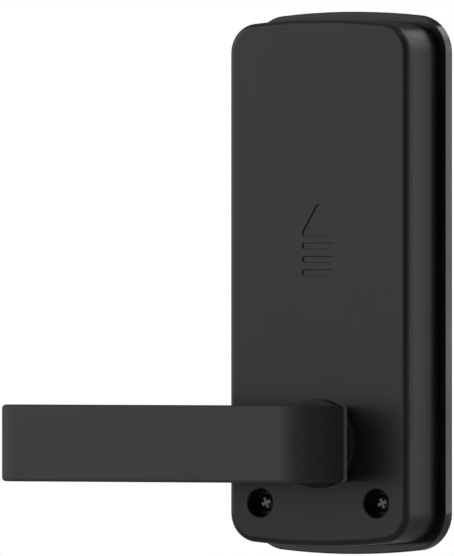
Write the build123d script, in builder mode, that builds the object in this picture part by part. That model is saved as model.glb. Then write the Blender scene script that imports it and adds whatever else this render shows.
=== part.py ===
from build123d import *
import math
import os

os.makedirs("parts", exist_ok=True)

# Indoor half of a lever smart lock, in millimetres.
# The origin is where the spindle's axis meets the door. +Z is up and the door lies on the +Y side,
# so a depth is a distance from the door face towards the room, along -Y.

# Four AA cells stand side by side in a tray
cell_count = 4
cell_diameter = 14.2
cell_length = 50.2
cell_edge_round = 0.8
nub_diameter = 5.2
nub_height = 1.2
cell_gap = 0.2
tray_wall = 1.0
tray_end_wall = 1.2
tray_floor = 1.2
tray_lift = 0.5
tray_side_gap = 0.7
tray_play = 0.3
cradle_rib_width = 2.0
cradle_rib_height = 2.6
ear_spread = 26.0
ear_width = 7.0
ear_length = 5.4
ear_thickness = 2.0
ear_boss_length = 2.6
ear_boss_radius = 2.6

# Battery contacts, bent from sheet, with coil springs at the negative ends
contact_thickness = 0.4
contact_width = 12.0
contact_gap = 0.1
contact_margin = 0.2
contact_spring_height = 4.5
contact_wire = 0.7
contact_coil_radius = 3.4
contact_turns = 3
tab_width = 3.0
tab_inset = 0.5
tab_overlap = 3.0
tab_slot_gap = 0.2

# Casing: a cast shell with a drafted wall, and a deck under the battery cover
casing_wall = 2.4
casing_corner = 9.5
casing_draft = 0.4
casing_edge_round = 2.0
crown_radius = 240.0
front_wall = 2.5
riser_wall = 1.8
deck_thickness = 1.8
deck_gap = 0.6
axis_to_bottom = 33.1
top_room = 10.4

# Battery cover, which slides up on two rails
cover_thickness = 2.5
cover_room = 1.4
cover_gap = 0.2
cover_seam = 0.06
rail_start = 6.0
rail_stem = 1.3
rail_foot = 1.0
rail_groove = 1.0
rail_lip = 1.1
rail_play = 0.3
rail_side_play = 0.4
rail_plug_gap = 0.1
ledge_thickness = 1.8
step_wall = 1.2

# Arrow and bars sunk into the battery cover
arrow_width = 12.8
arrow_height = 10.7
arrow_corner = 0.85
arrow_depth = 0.5
arrow_drop = 2.45
arrow_edge_round = 0.25
bar_count = 3
bar_length = 11.6
bar_width = 1.8
bar_pitch = 4.27
bar_below_arrow = 3.35

# Mounting plate
plate_thickness = 4.7
plate_floor = 2.5
plate_land = 0.8
flange_side = 2.7
flange_end = 2.6
plate_edge_round = 0.4
plate_back_round = 0.4
shadow_gap_width = 1.0
shadow_gap_depth = 1.0
bolt_spacing = 38.1
bolt_hole_radius = 2.75
cable_slot_margin = 1.5
cable_slot_round = 2.5
ring_view_gap = 1.5

# Housing screws and the posts that they drive into
screw_radius = 1.5
screw_length = 10.0
screw_head_radius = 2.8
screw_head_height = 2.2
screw_head_round = 0.9
screw_recess_span = 3.3
screw_recess_width = 0.9
screw_recess_depth = 1.5
screw_tip = 0.4
screw_head_depth = 3.5
screw_hole_gap = 0.2
counterbore_radius = 4.6
counterbore_edge = 0.3
tunnel_wall = 1.6
seat_floor = 2.0
lower_screw_spread = 43.0
lower_screw_drop = 19.2
post_radius = 3.6
post_spigot_radius = 2.6
post_spigot_short = 0.4
thread_gap = 0.05
thread_spare = 1.2

# Small self-tapping screws for the board and the tray
tap_radius = 1.0
tap_length = 5.0
tap_head_radius = 2.0
tap_head_height = 1.4
tap_head_round = 0.6
tap_tip = 0.4
tap_recess_span = 2.4
tap_recess_width = 0.6
tap_recess_depth = 0.8
tap_hole_gap = 0.15
tap_spare = 0.6

# Circuit board
board_width = 50.0
board_height = 32.0
board_thickness = 1.6
board_corner = 2.0
board_hub_gap = 3.5
board_hole_inset = 3.0
board_boss_radius = 2.4
layout_gap = 0.8
chip_size = 9.0
chip_height = 1.4
radio_width = 13.0
radio_length = 10.0
radio_height = 2.4
capacitor_radius = 3.15
capacitor_height = 6.6
capacitor_round = 0.5
coil_size = 6.0
coil_height = 3.0
sounder_radius = 4.5
sounder_height = 4.2
board_part_gap = 1.4
upper_part_rise = 6.5
capacitor_pitch = 7.0
capacitor_drop = 9.0
radio_margin = 2.0
radio_drop = 4.0
coil_margin = 4.5
coil_drop = 5.5

# Socket on the back of the board for the cable from the outdoor half
socket_width = 13.0
socket_height = 8.0
socket_depth = 4.5
socket_wall = 1.0
socket_floor = 1.2
socket_gap = 0.8
pin_count = 5
pin_size = 0.6
pin_short = 0.8

# Reset switch and its button
switch_size = 6.0
switch_height = 3.5
switch_margin = 5.0
switch_rise = 5.0
switch_well_gap = 0.2
switch_well_depth = 0.8
button_radius = 1.7
button_flange_radius = 2.7
button_flange = 0.8
button_guide_gap = 0.1
button_travel = 0.5
button_stop_gap = 0.1
button_below_deck = 0.4
button_top_round = 0.4

# Lever: a square neck and a flat bar, on a round shank
lever_height = 24.8
lever_reach = 100.2
lever_projection = 35.3
grip_thickness = 10.0
elbow_round = 6.1
inner_round = 5.0
tip_front_round = 7.0
tip_back_round = 2.0
lever_edge_round = 1.3
spacer_thickness = 2.4
spacer_inset = 0.1
lever_gap = 0.25
lever_travel = 50.0
shank_radius = 9.0
shank_flat = 7.2
shank_tail = 0.9
spindle_size = 8.0
spindle_gap = 0.1
spindle_reach = 40.0
spindle_in_neck = 20.0
spindle_chamfer = 0.8
grub_radius = 3.0
grub_length = 6.0
grub_socket = 3.0
grub_socket_depth = 3.0
grub_gap = 0.05

# Rose and bush that the shank turns in
running_gap = 0.05
press_gap = 0.03
bush_wall = 1.15
bush_flange = 1.0
bush_flange_step = 1.4
bush_short = 0.3
spigot_wall = 1.2
spigot_short = 0.5
hub_wall = 2.0
hub_tail = 1.8
notch_gap = 0.4
rose_overlap = 0.45
rose_thickness = 2.15
rose_gap = 0.2
rose_edge_round = 0.8

# Return spring, drive hub and what holds the hub on
spring_wire = 1.4
spring_radius = 12.6
spring_pitch = 1.9
spring_turns = 3
spring_play = 0.25
leg_gap = 0.25
hub_spring_gap = 0.7
hub_thickness = 2.0
hub_radius = 14.5
lug_inner = 16.5
lug_thickness = 2.0
lug_width = 5.0
lug_length = 5.4
stop_post_radius = 1.9
stop_gap = 0.4
washer_radius = 13.0
washer_thickness = 0.6
ring_radius = 11.0
ring_thickness = 1.0
ring_bite = 0.8
ring_opening = 60.0
stack_gap = 0.05

# Across: the casing is as wide as the cells, the tray and its own walls make it
cell_pitch = cell_diameter + cell_gap
pack_half = ((cell_count - 1) * cell_pitch + cell_diameter) / 2
window_half = pack_half + cell_gap
tray_half = window_half + tray_wall
casing_width = 2 * (tray_half + tray_side_gap + casing_wall)

# Deep: from the door, the levels of plate, tray, deck, cover and casing front
cell_axis_depth = plate_thickness + tray_lift + tray_floor + cell_gap + cell_diameter / 2
casing_depth = tray_lift + tray_floor + cell_gap + cell_diameter + cover_room + cover_thickness
front = plate_thickness + casing_depth
cover_back = front - cover_thickness
wall_top = cover_back - cover_gap
deck_front = cover_back - deck_gap
deck_back = deck_front - deck_thickness
groove_front = wall_top - rail_lip
foot_front_level = groove_front - rail_play
foot_back_level = foot_front_level - rail_foot
groove_back = foot_back_level - rail_play
ledge_back = groove_back - ledge_thickness
tray_back = plate_thickness + tray_lift
tray_front = ledge_back - tray_play
board_back = plate_thickness + socket_gap + socket_depth
board_front = board_back + board_thickness
screw_seat = front - screw_head_depth - screw_head_height
post_top = screw_seat - seat_floor

# Radii round the lever's axis, from the shank outwards
bush_bore = shank_radius + running_gap
bush_radius = bush_bore + bush_wall
spigot_bore = bush_radius + press_gap
spigot_radius = spigot_bore + spigot_wall
hub_bore = spigot_radius + press_gap
hub_boss_radius = hub_bore + hub_wall
notch_radius = hub_boss_radius + notch_gap
rose_radius = notch_radius + rose_overlap
bush_flange_radius = spigot_radius + bush_flange_step
lug_middle = lug_inner + lug_thickness / 2
lug_outer = lug_inner + lug_thickness

# Up: board, upper screw and tray follow each other above the lever
tunnel_radius = counterbore_radius + tunnel_wall
board_bottom = lug_outer + board_hub_gap
board_middle = board_bottom + board_height / 2
board_top = board_bottom + board_height
upper_screw_rise = board_top + layout_gap + tunnel_radius
tray_bottom = upper_screw_rise + tunnel_radius + layout_gap
tray_inside = 2 * contact_thickness + contact_spring_height + cell_length + contact_gap
tray_top = tray_bottom + tray_inside + 2 * tray_end_wall
axis_to_top = tray_top + top_room
casing_height = axis_to_top + axis_to_bottom
casing_middle = (axis_to_top - axis_to_bottom) / 2

# The wall leans out towards the door, so the casing is largest where it meets the plate
draft_slope = math.tan(math.radians(casing_draft))
rear_growth = casing_depth * draft_slope
rear_width = casing_width + 2 * rear_growth
rear_height = casing_height + 2 * rear_growth
rear_corner = casing_corner + rear_growth
plate_width = rear_width + 2 * flange_side
plate_height = rear_height + 2 * flange_end
plate_corner = rear_corner + flange_side

# Rails of the battery cover and the channels that they run in
stem_outer = casing_width / 2 - casing_wall - rail_side_play
stem_inner = stem_outer - rail_stem
channel_inner = stem_inner - rail_side_play
rail_wall = casing_width / 2 - casing_wall + (front - groove_back) * draft_slope
groove_outer = rail_wall + rail_groove
foot_outer = groove_outer - rail_side_play
cover_bottom = cover_seam

# Lever levels, and the stack on the shank behind the casing's hub
spacer_back = front + rose_gap + rose_thickness + lever_gap
neck_back = spacer_back + spacer_thickness
lever_front = front + lever_projection
grip_back = lever_front - grip_thickness
neck_middle = (neck_back + grip_back) / 2
hub_back = deck_back - hub_tail
bush_back = hub_back - bush_flange
spring_front = bush_back - spring_play - spring_wire / 2

# Where the stops stand round the axis, seen from the room with angles from +X towards +Z
lug_angle = 90.0
stop_offset = math.degrees(math.asin((lug_width / 2 + stop_post_radius + stop_gap) / lug_middle))
rest_stop_angle = lug_angle - stop_offset
full_stop_angle = lug_angle + lever_travel + stop_offset
rest_stop = Vector(lug_middle, 0).rotate(Axis.Z, rest_stop_angle)
full_stop = Vector(lug_middle, 0).rotate(Axis.Z, full_stop_angle)

# The spring's legs leave the coil tangentially, one to the rest stop and one to the hub's lug
fixed_leg_end = rest_stop + Vector(stop_post_radius + leg_gap + spring_wire / 2, 0)
moving_leg_end = Vector(-(lug_width / 2 + leg_gap + spring_wire / 2), lug_middle)


def bearing(place):
    """Angle of a place round the axis, in degrees."""
    return math.degrees(math.atan2(place.Y, place.X))


def tangent_span(place):
    """Angle at the axis between a place and where its tangent touches the coil."""
    return math.degrees(math.acos(spring_radius / place.length))


coil_start = bearing(fixed_leg_end) - tangent_span(fixed_leg_end)
coil_end = bearing(moving_leg_end) + tangent_span(moving_leg_end)
coil_sweep = coil_end - coil_start - 360 * spring_turns
coil_rise = spring_pitch * coil_sweep / 360
spring_back = spring_front + coil_rise
drive_hub_front = spring_back - spring_wire / 2 - hub_spring_gap
drive_hub_back = drive_hub_front - hub_thickness
washer_front = drive_hub_back - stack_gap
washer_back = washer_front - washer_thickness
ring_front = washer_back - stack_gap
ring_back = ring_front - ring_thickness
shank_end = ring_back - shank_tail

lower_screw_places = [
    (-lower_screw_spread / 2, -lower_screw_drop),
    (lower_screw_spread / 2, -lower_screw_drop),
]
upper_screw_place = (0, upper_screw_rise)
screw_places = [*lower_screw_places, upper_screw_place]
board_hole_x = board_width / 2 - board_hole_inset
board_hole_z = board_height / 2 - board_hole_inset
board_screw_places = [
    (x, board_middle + z)
    for x in (-board_hole_x, board_hole_x)
    for z in (-board_hole_z, board_hole_z)
]
ear_middle = tray_bottom - ear_length / 2
ear_places = [(-ear_spread / 2, ear_middle), (ear_spread / 2, ear_middle)]
ear_back = deck_back - ear_boss_length - ear_thickness
switch_place = (board_width / 2 - switch_margin - switch_size / 2, board_middle + switch_rise)
sounder_x = switch_place[0] - switch_size / 2 - board_part_gap - sounder_radius
chip_x = sounder_x - sounder_radius - board_part_gap - chip_size / 2
coil_x = board_width / 2 - coil_margin - coil_size / 2
capacitor_x = coil_x - coil_size / 2 - board_part_gap - capacitor_radius
radio_x = -board_width / 2 + radio_margin + radio_width / 2
cell_places = [(number - (cell_count - 1) / 2) * cell_pitch for number in range(cell_count)]

seated = (Align.CENTER, Align.CENTER, Align.MIN)
hanging = (Align.CENTER, Align.CENTER, Align.MAX)


def room_plane(depth, rise=0.0):
    """Plane that faces the room, at a depth from the door and a height above the lever's axis."""
    return Plane((0, -depth, rise), x_dir=(1, 0, 0), z_dir=(0, -1, 0))


def door_plane(depth, rise=0.0):
    """Plane that faces the door, at a depth from it and a height above the lever's axis."""
    return Plane((0, -depth, rise), x_dir=(-1, 0, 0), z_dir=(0, 1, 0))


def crowned_outline(depth, growth_x, growth_z, corner):
    """Casing outline grown sideways and endways: straight sides, bowed top and bottom, round corners."""
    half = rear_width / 2 + growth_x
    end = rear_height / 2 + growth_z
    shoulder = end - crown_radius + math.sqrt(crown_radius**2 - half**2)
    with BuildSketch(room_plane(depth, casing_middle)) as outline:
        with BuildLine():
            ThreePointArc((-half, shoulder), (0, end), (half, shoulder))
            Line((half, shoulder), (half, -shoulder))
            ThreePointArc((half, -shoulder), (0, -end), (-half, -shoulder))
            Line((-half, -shoulder), (-half, shoulder))
        make_face()
        fillet(outline.vertices(), corner)
    return outline.sketch


def casing_prism(inset, top):
    """Drafted prism of the casing's outline, set in from its outside, from the plate to a depth."""
    with BuildPart() as prism:
        outline = crowned_outline(plate_thickness, -inset, -inset, rear_corner - inset)
        extrude(outline, amount=top - plate_thickness, taper=casing_draft)
    return prism.part


def casing_form():
    """Outside of the casing and its battery cover together, with the front edge rounded."""
    with BuildPart() as form:
        add(casing_prism(0, front))
        fillet(form.faces().sort_by(Axis.Y)[0].edges(), casing_edge_round)
    return form.part


def casing_hollow(back, top, low, high):
    """Space inside the casing's walls between two depths and two heights."""
    with BuildPart() as hollow:
        add(casing_prism(casing_wall, top))
        with BuildSketch(room_plane(back, (low + high) / 2)):
            Rectangle(rear_width, high - low)
        extrude(amount=top - back, mode=Mode.INTERSECT)
    return hollow.part


def cross_screw(radius, length, tip, head_radius, head_height, head_round, span, width, depth):
    """Pan-head screw along local Z, seated at zero, with a cross recess in its head."""
    with BuildPart() as screw:
        Cylinder(head_radius, head_height, align=seated)
        fillet(screw.edges().group_by(Axis.Z)[-1], head_round)
        Cylinder(radius, length, align=hanging)
        chamfer(screw.edges().group_by(Axis.Z)[0], tip)
        with Locations((0, 0, head_height)):
            Box(span, width, depth, align=hanging, mode=Mode.SUBTRACT)
            Box(width, span, depth, align=hanging, mode=Mode.SUBTRACT)
    return screw.part


def housing_screw():
    """Screw that holds the casing to the plate."""
    return cross_screw(
        screw_radius,
        screw_length,
        screw_tip,
        screw_head_radius,
        screw_head_height,
        screw_head_round,
        screw_recess_span,
        screw_recess_width,
        screw_recess_depth,
    )


def tapping_screw():
    """Small screw for the board and the tray."""
    return cross_screw(
        tap_radius,
        tap_length,
        tap_tip,
        tap_head_radius,
        tap_head_height,
        tap_head_round,
        tap_recess_span,
        tap_recess_width,
        tap_recess_depth,
    )


def helix_steps(radius, start, sweep_angle, rise):
    """Places and headings along a helix about local Z: two tangent arcs to each quarter turn or less."""
    count = math.ceil(abs(sweep_angle) / 90)
    turn = math.radians(sweep_angle / count)
    climb = rise / count
    length = math.hypot(radius * turn, climb)
    flat = radius * turn / length
    lift = climb / length
    along_middle = flat * math.sin(turn / 2)
    along_chord = flat * radius * math.sin(turn / 2) * math.cos(turn / 2) + lift * climb / 2
    half_chord = math.hypot(radius * math.sin(turn / 2), climb / 2)
    root = math.hypot(along_chord, along_middle * half_chord)
    meeting_radius = radius * math.cos(turn / 2) + (root - along_chord) / along_middle
    steps = []
    for number in range(count + 1):
        angle = math.radians(start) + number * turn
        place = Vector(radius * math.cos(angle), radius * math.sin(angle), number * climb)
        heading = Vector(-flat * math.sin(angle), flat * math.cos(angle), lift)
        steps.append((place, heading))
        if number < count:
            angle += turn / 2
            meeting = Vector(
                meeting_radius * math.cos(angle),
                meeting_radius * math.sin(angle),
                (number + 0.5) * climb,
            )
            chord = (meeting - place).normalized()
            steps.append((meeting, chord * (2 * heading.dot(chord)) - heading))
    return steps


def coil(radius, wire, start, sweep_angle, rise, lead_in=0.0, lead_out=0.0):
    """Wire wound about local Z from height zero, with straight legs leaving it tangentially."""
    steps = helix_steps(radius, start, sweep_angle, rise)
    first_place, first_heading = steps[0]
    last_place, last_heading = steps[-1]
    begin = first_place - first_heading * lead_in
    with BuildPart() as wound:
        with BuildLine() as path:
            if lead_in:
                Line(begin, first_place)
            for (here, heading), (there, _) in zip(steps, steps[1:]):
                TangentArc(here, there, tangent=heading)
            if lead_out:
                Line(last_place, last_place + last_heading * lead_out)
        with BuildSketch(Plane(begin, z_dir=first_heading)):
            Circle(wire / 2)
        sweep(path=path.wire())
    return wound.part


# Mounting plate: a flange shows round the casing, and the middle is thinned behind it
with BuildPart() as mounting_plate:
    extrude(crowned_outline(0, flange_side, flange_end, plate_corner), amount=plate_thickness)
    fillet(mounting_plate.faces().sort_by(Axis.Y)[0].edges(), plate_edge_round)
    fillet(mounting_plate.faces().sort_by(Axis.Y)[-1].edges(), plate_back_round)
    gap_bottom = plate_thickness - shadow_gap_depth
    gap_corner = rear_corner + shadow_gap_width
    gap_outline = crowned_outline(gap_bottom, shadow_gap_width, shadow_gap_width, gap_corner)
    extrude(gap_outline, amount=shadow_gap_depth, mode=Mode.SUBTRACT)
    extrude(crowned_outline(gap_bottom, 0, 0, rear_corner), amount=shadow_gap_depth)
    pocket_inset = casing_wall + plate_land
    pocket = crowned_outline(plate_floor, -pocket_inset, -pocket_inset, rear_corner - pocket_inset)
    extrude(pocket, amount=plate_thickness - plate_floor, mode=Mode.SUBTRACT)
    with BuildSketch(room_plane(0)):
        Circle(ring_radius + ring_view_gap)
        with Locations((-bolt_spacing / 2, 0), (bolt_spacing / 2, 0)):
            Circle(bolt_hole_radius)
        with Locations((0, board_middle)):
            RectangleRounded(
                socket_width + 2 * cable_slot_margin,
                socket_height + 2 * cable_slot_margin,
                cable_slot_round,
            )
        with Locations(*screw_places):
            Circle(post_spigot_radius + press_gap)
    extrude(amount=plate_floor, mode=Mode.SUBTRACT)
mounting_plate.part.label = "mounting_plate"
export_step(mounting_plate.part, "parts/mounting_plate.step")

# Threaded posts, riveted into the plate under the three housing screws
with BuildPart(room_plane(plate_floor)) as screw_posts:
    with Locations(*screw_places):
        Cylinder(post_radius, post_top - plate_floor, align=seated)
        Cylinder(post_spigot_radius, plate_floor - post_spigot_short, align=hanging)
    with Locations(*[(x, z, post_top - plate_floor) for x, z in screw_places]):
        Hole(screw_radius + thread_gap, screw_length - seat_floor + thread_spare)
screw_posts.part.label = "screw_posts"
export_step(screw_posts.part, "parts/screw_posts.step")

# Housing: side walls, the lower front wall, and a recessed deck that the cover lies over
with BuildPart() as housing:
    add(casing_form())
    with BuildSketch(room_plane(wall_top, axis_to_top)):
        Rectangle(2 * rear_width, 2 * axis_to_top)
    extrude(amount=casing_depth, mode=Mode.SUBTRACT)
    add(casing_hollow(plate_thickness, deck_back, -axis_to_bottom, axis_to_top), mode=Mode.SUBTRACT)
    lower_inside = front - front_wall
    add(casing_hollow(deck_back, lower_inside, -axis_to_bottom, -riser_wall), mode=Mode.SUBTRACT)
    add(casing_hollow(deck_front, front, 0, axis_to_top), mode=Mode.SUBTRACT)

    # Window that the cells are dropped through
    window_bottom = tray_bottom + tray_end_wall
    window_top = tray_top - tray_end_wall
    with BuildSketch(room_plane(deck_back, (window_bottom + window_top) / 2)):
        Rectangle(2 * window_half, window_top - window_bottom)
    extrude(amount=deck_thickness, mode=Mode.SUBTRACT)

    # Ledges under the rail channels, and the steps that join them to the deck
    ledge_top = axis_to_top - top_room
    for side in (-1, 1):
        ledge_width = rail_wall + rail_groove - window_half
        with BuildSketch(room_plane(ledge_back, ledge_top / 2)):
            with Locations((side * (window_half + ledge_width / 2), 0)):
                Rectangle(ledge_width, ledge_top)
        extrude(amount=ledge_thickness)
        shelf_inner = channel_inner - step_wall
        shelf_width = rail_wall + rail_groove - shelf_inner
        with BuildSketch(room_plane(ledge_back, window_bottom / 2)):
            with Locations((side * (shelf_inner + shelf_width / 2), 0)):
                Rectangle(shelf_width, window_bottom)
        extrude(amount=ledge_thickness)
        with BuildSketch(room_plane(ledge_back, window_bottom / 2)):
            with Locations((side * (channel_inner - step_wall / 2), 0)):
                Rectangle(step_wall, window_bottom)
        extrude(amount=deck_front - ledge_back)

    # Hub for the rose, tunnels for the three screws, bosses and stops
    with BuildSketch(room_plane(hub_back)):
        Circle(hub_boss_radius)
    extrude(amount=front - hub_back)
    with BuildSketch(room_plane(post_top)):
        with Locations(*lower_screw_places):
            Circle(tunnel_radius)
    extrude(amount=lower_inside - post_top)
    with BuildSketch(room_plane(post_top)):
        with Locations(upper_screw_place):
            Circle(tunnel_radius)
    extrude(amount=deck_front - post_top)
    with BuildSketch(room_plane(board_front)):
        with Locations(*board_screw_places):
            Circle(board_boss_radius)
    extrude(amount=deck_back - board_front)
    with BuildSketch(room_plane(deck_back - ear_boss_length)):
        with Locations(*ear_places):
            Circle(ear_boss_radius)
    extrude(amount=ear_boss_length)
    with BuildSketch(room_plane(drive_hub_front + stop_gap)):
        with Locations((rest_stop.X, rest_stop.Y), (full_stop.X, full_stop.Y)):
            Circle(stop_post_radius)
    extrude(amount=deck_back - drive_hub_front - stop_gap)

    # Rail channels, open at the top so that the cover lifts clean off
    for side in (-1, 1):
        with BuildSketch(Plane.XY.offset(riser_wall)):
            with Locations((side * (channel_inner + rail_wall) / 2, -(groove_back + front) / 2)):
                Rectangle(rail_wall - channel_inner, front - groove_back)
            with Locations((side * (channel_inner + groove_outer) / 2, -(groove_back + groove_front) / 2)):
                Rectangle(groove_outer - channel_inner, groove_front - groove_back)
        extrude(amount=axis_to_top, mode=Mode.SUBTRACT)

    # Bores for the rose's spigot, the screws and the reset button
    with BuildSketch(room_plane(hub_back)):
        Circle(hub_bore)
    extrude(amount=front - hub_back, mode=Mode.SUBTRACT)
    with BuildSketch(room_plane(post_top)):
        with Locations(*screw_places):
            Circle(screw_radius + screw_hole_gap)
    extrude(amount=seat_floor, mode=Mode.SUBTRACT)
    with BuildSketch(room_plane(screw_seat)):
        with Locations(*screw_places):
            Circle(counterbore_radius)
    extrude(amount=front - screw_seat, mode=Mode.SUBTRACT)
    with BuildSketch(room_plane(board_front)):
        with Locations(*board_screw_places):
            Circle(tap_radius + thread_gap)
    extrude(amount=tap_length - board_thickness + tap_spare, mode=Mode.SUBTRACT)
    with BuildSketch(room_plane(deck_back - ear_boss_length)):
        with Locations(*ear_places):
            Circle(tap_radius + thread_gap)
    extrude(amount=tap_length - ear_thickness + tap_spare, mode=Mode.SUBTRACT)
    with BuildSketch(room_plane(deck_back)):
        with Locations(switch_place):
            Circle(button_radius + button_guide_gap)
    extrude(amount=deck_thickness, mode=Mode.SUBTRACT)
    rims = housing.edges().filter_by(GeomType.CIRCLE).group_by(Axis.Y)[0]
    mouths = rims.filter_by(lambda edge: abs(edge.radius - counterbore_radius) < thread_gap)
    chamfer(mouths, counterbore_edge)
housing.part.label = "housing"
export_step(housing.part, "parts/housing.step")

# Battery cover: the casing's upper front, with rails on its back and a notch round the rose
with BuildPart() as battery_cover:
    with BuildSketch(room_plane(cover_back, cover_bottom + axis_to_top)):
        Rectangle(2 * rear_width, 2 * axis_to_top)
    extrude(amount=2 * cover_thickness)
    for side in (-1, 1):
        with BuildSketch(Plane.XY.offset(rail_start)):
            with Locations((side * (stem_inner + stem_outer) / 2, -(foot_back_level + cover_back) / 2)):
                Rectangle(rail_stem, cover_back - foot_back_level)
            with Locations((side * (stem_inner + foot_outer) / 2, -(foot_back_level + foot_front_level) / 2)):
                Rectangle(foot_outer - stem_inner, rail_foot)
        extrude(amount=axis_to_top)

        # At its upper end each rail is a plug that shuts the mouth of its channel
        plug_inner = channel_inner + rail_plug_gap
        plug_outer = rail_wall - rail_plug_gap
        wing_outer = groove_outer - rail_plug_gap
        plug_back = groove_back + rail_plug_gap
        wing_front = groove_front - rail_plug_gap
        with BuildSketch(Plane.XY.offset(axis_to_top - casing_corner)):
            with Locations((side * (plug_inner + plug_outer) / 2, -(plug_back + cover_back) / 2)):
                Rectangle(plug_outer - plug_inner, cover_back - plug_back)
            with Locations((side * (plug_inner + wing_outer) / 2, -(plug_back + wing_front) / 2)):
                Rectangle(wing_outer - plug_inner, wing_front - plug_back)
        extrude(amount=casing_corner)
    add(casing_form(), mode=Mode.INTERSECT)
    with BuildSketch(room_plane(cover_back)):
        Circle(notch_radius)
    extrude(amount=cover_thickness, mode=Mode.SUBTRACT)
    bars_height = bar_below_arrow + (bar_count - 1) * bar_pitch + bar_width / 2
    arrow_base = (axis_to_top + cover_bottom + bars_height - arrow_height) / 2 - arrow_drop
    with BuildSketch(room_plane(front - arrow_depth, arrow_base)) as sunk_arrow:
        with BuildLine():
            Polyline(
                (-arrow_width / 2, 0),
                (arrow_width / 2, 0),
                (0, arrow_height),
                close=True,
            )
        make_face()
        fillet(sunk_arrow.vertices(), arrow_corner)
        with Locations(*[(0, -bar_below_arrow - number * bar_pitch) for number in range(bar_count)]):
            SlotOverall(bar_length, bar_width)
    extrude(amount=arrow_depth, mode=Mode.SUBTRACT)
    rims = battery_cover.faces().sort_by(Axis.Y)[0].inner_wires()
    fillet([edge for rim in rims for edge in rim.edges()], arrow_edge_round)
battery_cover.part.label = "battery_cover"
export_step(battery_cover.part, "parts/battery_cover.step")

# Housing screws: two in the deep holes below the lever, one under the battery cover
with BuildPart(room_plane(screw_seat)) as lower_housing_screws:
    with Locations(*lower_screw_places):
        add(housing_screw())
lower_housing_screws.part.label = "lower_housing_screws"
export_step(lower_housing_screws.part, "parts/lower_housing_screws.step")

with BuildPart(room_plane(screw_seat)) as upper_housing_screw:
    with Locations(upper_screw_place):
        add(housing_screw())
upper_housing_screw.part.label = "upper_housing_screw"
export_step(upper_housing_screw.part, "parts/upper_housing_screw.step")

# Rose: the round collar, whose rim hides the cover's notch and whose spigot fits the hub
with BuildPart(room_plane(front + rose_gap)) as lever_rose:
    Cylinder(rose_radius, rose_thickness, align=seated)
    fillet(lever_rose.edges().group_by(Axis.Y)[0], rose_edge_round)
    Cylinder(spigot_radius, front + rose_gap - hub_back - spigot_short, align=hanging)
    Cylinder(spigot_bore, 2 * front, mode=Mode.SUBTRACT)
lever_rose.part.label = "lever_rose"
export_step(lever_rose.part, "parts/lever_rose.step")

# Bush: a plastic sleeve in the rose, with its flange against the back of the hub
with BuildPart(room_plane(hub_back)) as lever_bush:
    Cylinder(bush_radius, spacer_back - lever_gap - bush_short - hub_back, align=seated)
    Cylinder(bush_flange_radius, bush_flange, align=hanging)
    Cylinder(bush_bore, 2 * front, mode=Mode.SUBTRACT)
lever_bush.part.label = "lever_bush"
export_step(lever_bush.part, "parts/lever_bush.step")

# Lever: bar, elbow and neck are one bent profile, on a round shank
with BuildPart() as lever:
    with BuildSketch() as bent:
        with BuildLine():
            Polyline(
                (lever_height / 2, -neck_back),
                (lever_height / 2, -lever_front),
                (-lever_reach, -lever_front),
                (-lever_reach, -grip_back),
                (-lever_height / 2, -grip_back),
                (-lever_height / 2, -neck_back),
                close=True,
            )
        make_face()
        fillet(bent.vertices().group_by(Axis.Y)[1].sort_by(Axis.X)[-1], inner_round)
        fillet(bent.vertices().group_by(Axis.Y)[0].sort_by(Axis.X)[-1], elbow_round)
        fillet(bent.vertices().group_by(Axis.Y)[0].sort_by(Axis.X)[0], tip_front_round)
        fillet(bent.vertices().group_by(Axis.X)[0].sort_by(Axis.Y)[-1], tip_back_round)
    extrude(amount=lever_height / 2, both=True)
    long_edges = lever.edges().group_by(Axis.Z)[0] + lever.edges().group_by(Axis.Z)[-1]
    back_edges = lever.edges().group_by(Axis.Y)[-1]
    fillet(long_edges - back_edges, lever_edge_round)
    with BuildSketch(room_plane(shank_end)):
        Circle(shank_radius)
    extrude(amount=neck_back - shank_end)

    # Flats that carry the drive hub, and the groove for the retaining ring
    with BuildSketch(room_plane(shank_end)):
        Circle(2 * shank_radius)
        Rectangle(2 * shank_flat, 4 * shank_radius, mode=Mode.SUBTRACT)
    extrude(amount=drive_hub_front - shank_end + stack_gap, mode=Mode.SUBTRACT)
    with BuildSketch(room_plane(ring_back - stack_gap)):
        Circle(2 * shank_radius)
        Circle(shank_radius - ring_bite, mode=Mode.SUBTRACT)
    extrude(amount=ring_thickness + 2 * stack_gap, mode=Mode.SUBTRACT)

    # Square socket for the spindle, and the grub screw's hole from below
    with BuildSketch(room_plane(shank_end)):
        Rectangle(spindle_size + 2 * spindle_gap, spindle_size + 2 * spindle_gap)
    extrude(amount=neck_back + spindle_in_neck + spindle_gap - shank_end, mode=Mode.SUBTRACT)
    with BuildSketch(Plane.XY.offset(-lever_height)):
        with Locations((0, -neck_middle)):
            Circle(grub_radius + grub_gap)
    extrude(amount=lever_height, mode=Mode.SUBTRACT)
lever.part.label = "lever"
export_step(lever.part, "parts/lever.step")

# Spacer: a square plastic plate between the neck and the rose, which turns with the lever
with BuildPart() as neck_spacer:
    with BuildSketch(room_plane(spacer_back)):
        spacer_size = lever_height - 2 * spacer_inset
        RectangleRounded(spacer_size, spacer_size, lever_edge_round)
        Circle(shank_radius + running_gap, mode=Mode.SUBTRACT)
    extrude(amount=spacer_thickness)
neck_spacer.part.label = "neck_spacer"
export_step(neck_spacer.part, "parts/neck_spacer.step")

# Spindle: the square bar that reaches into the door and works the latch
with BuildPart() as spindle:
    with BuildSketch(room_plane(-spindle_reach)):
        Rectangle(spindle_size, spindle_size)
    extrude(amount=spindle_reach + neck_back + spindle_in_neck)
    chamfer(spindle.faces().sort_by(Axis.Y)[-1].edges(), spindle_chamfer)
spindle.part.label = "spindle"
export_step(spindle.part, "parts/spindle.step")

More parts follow.
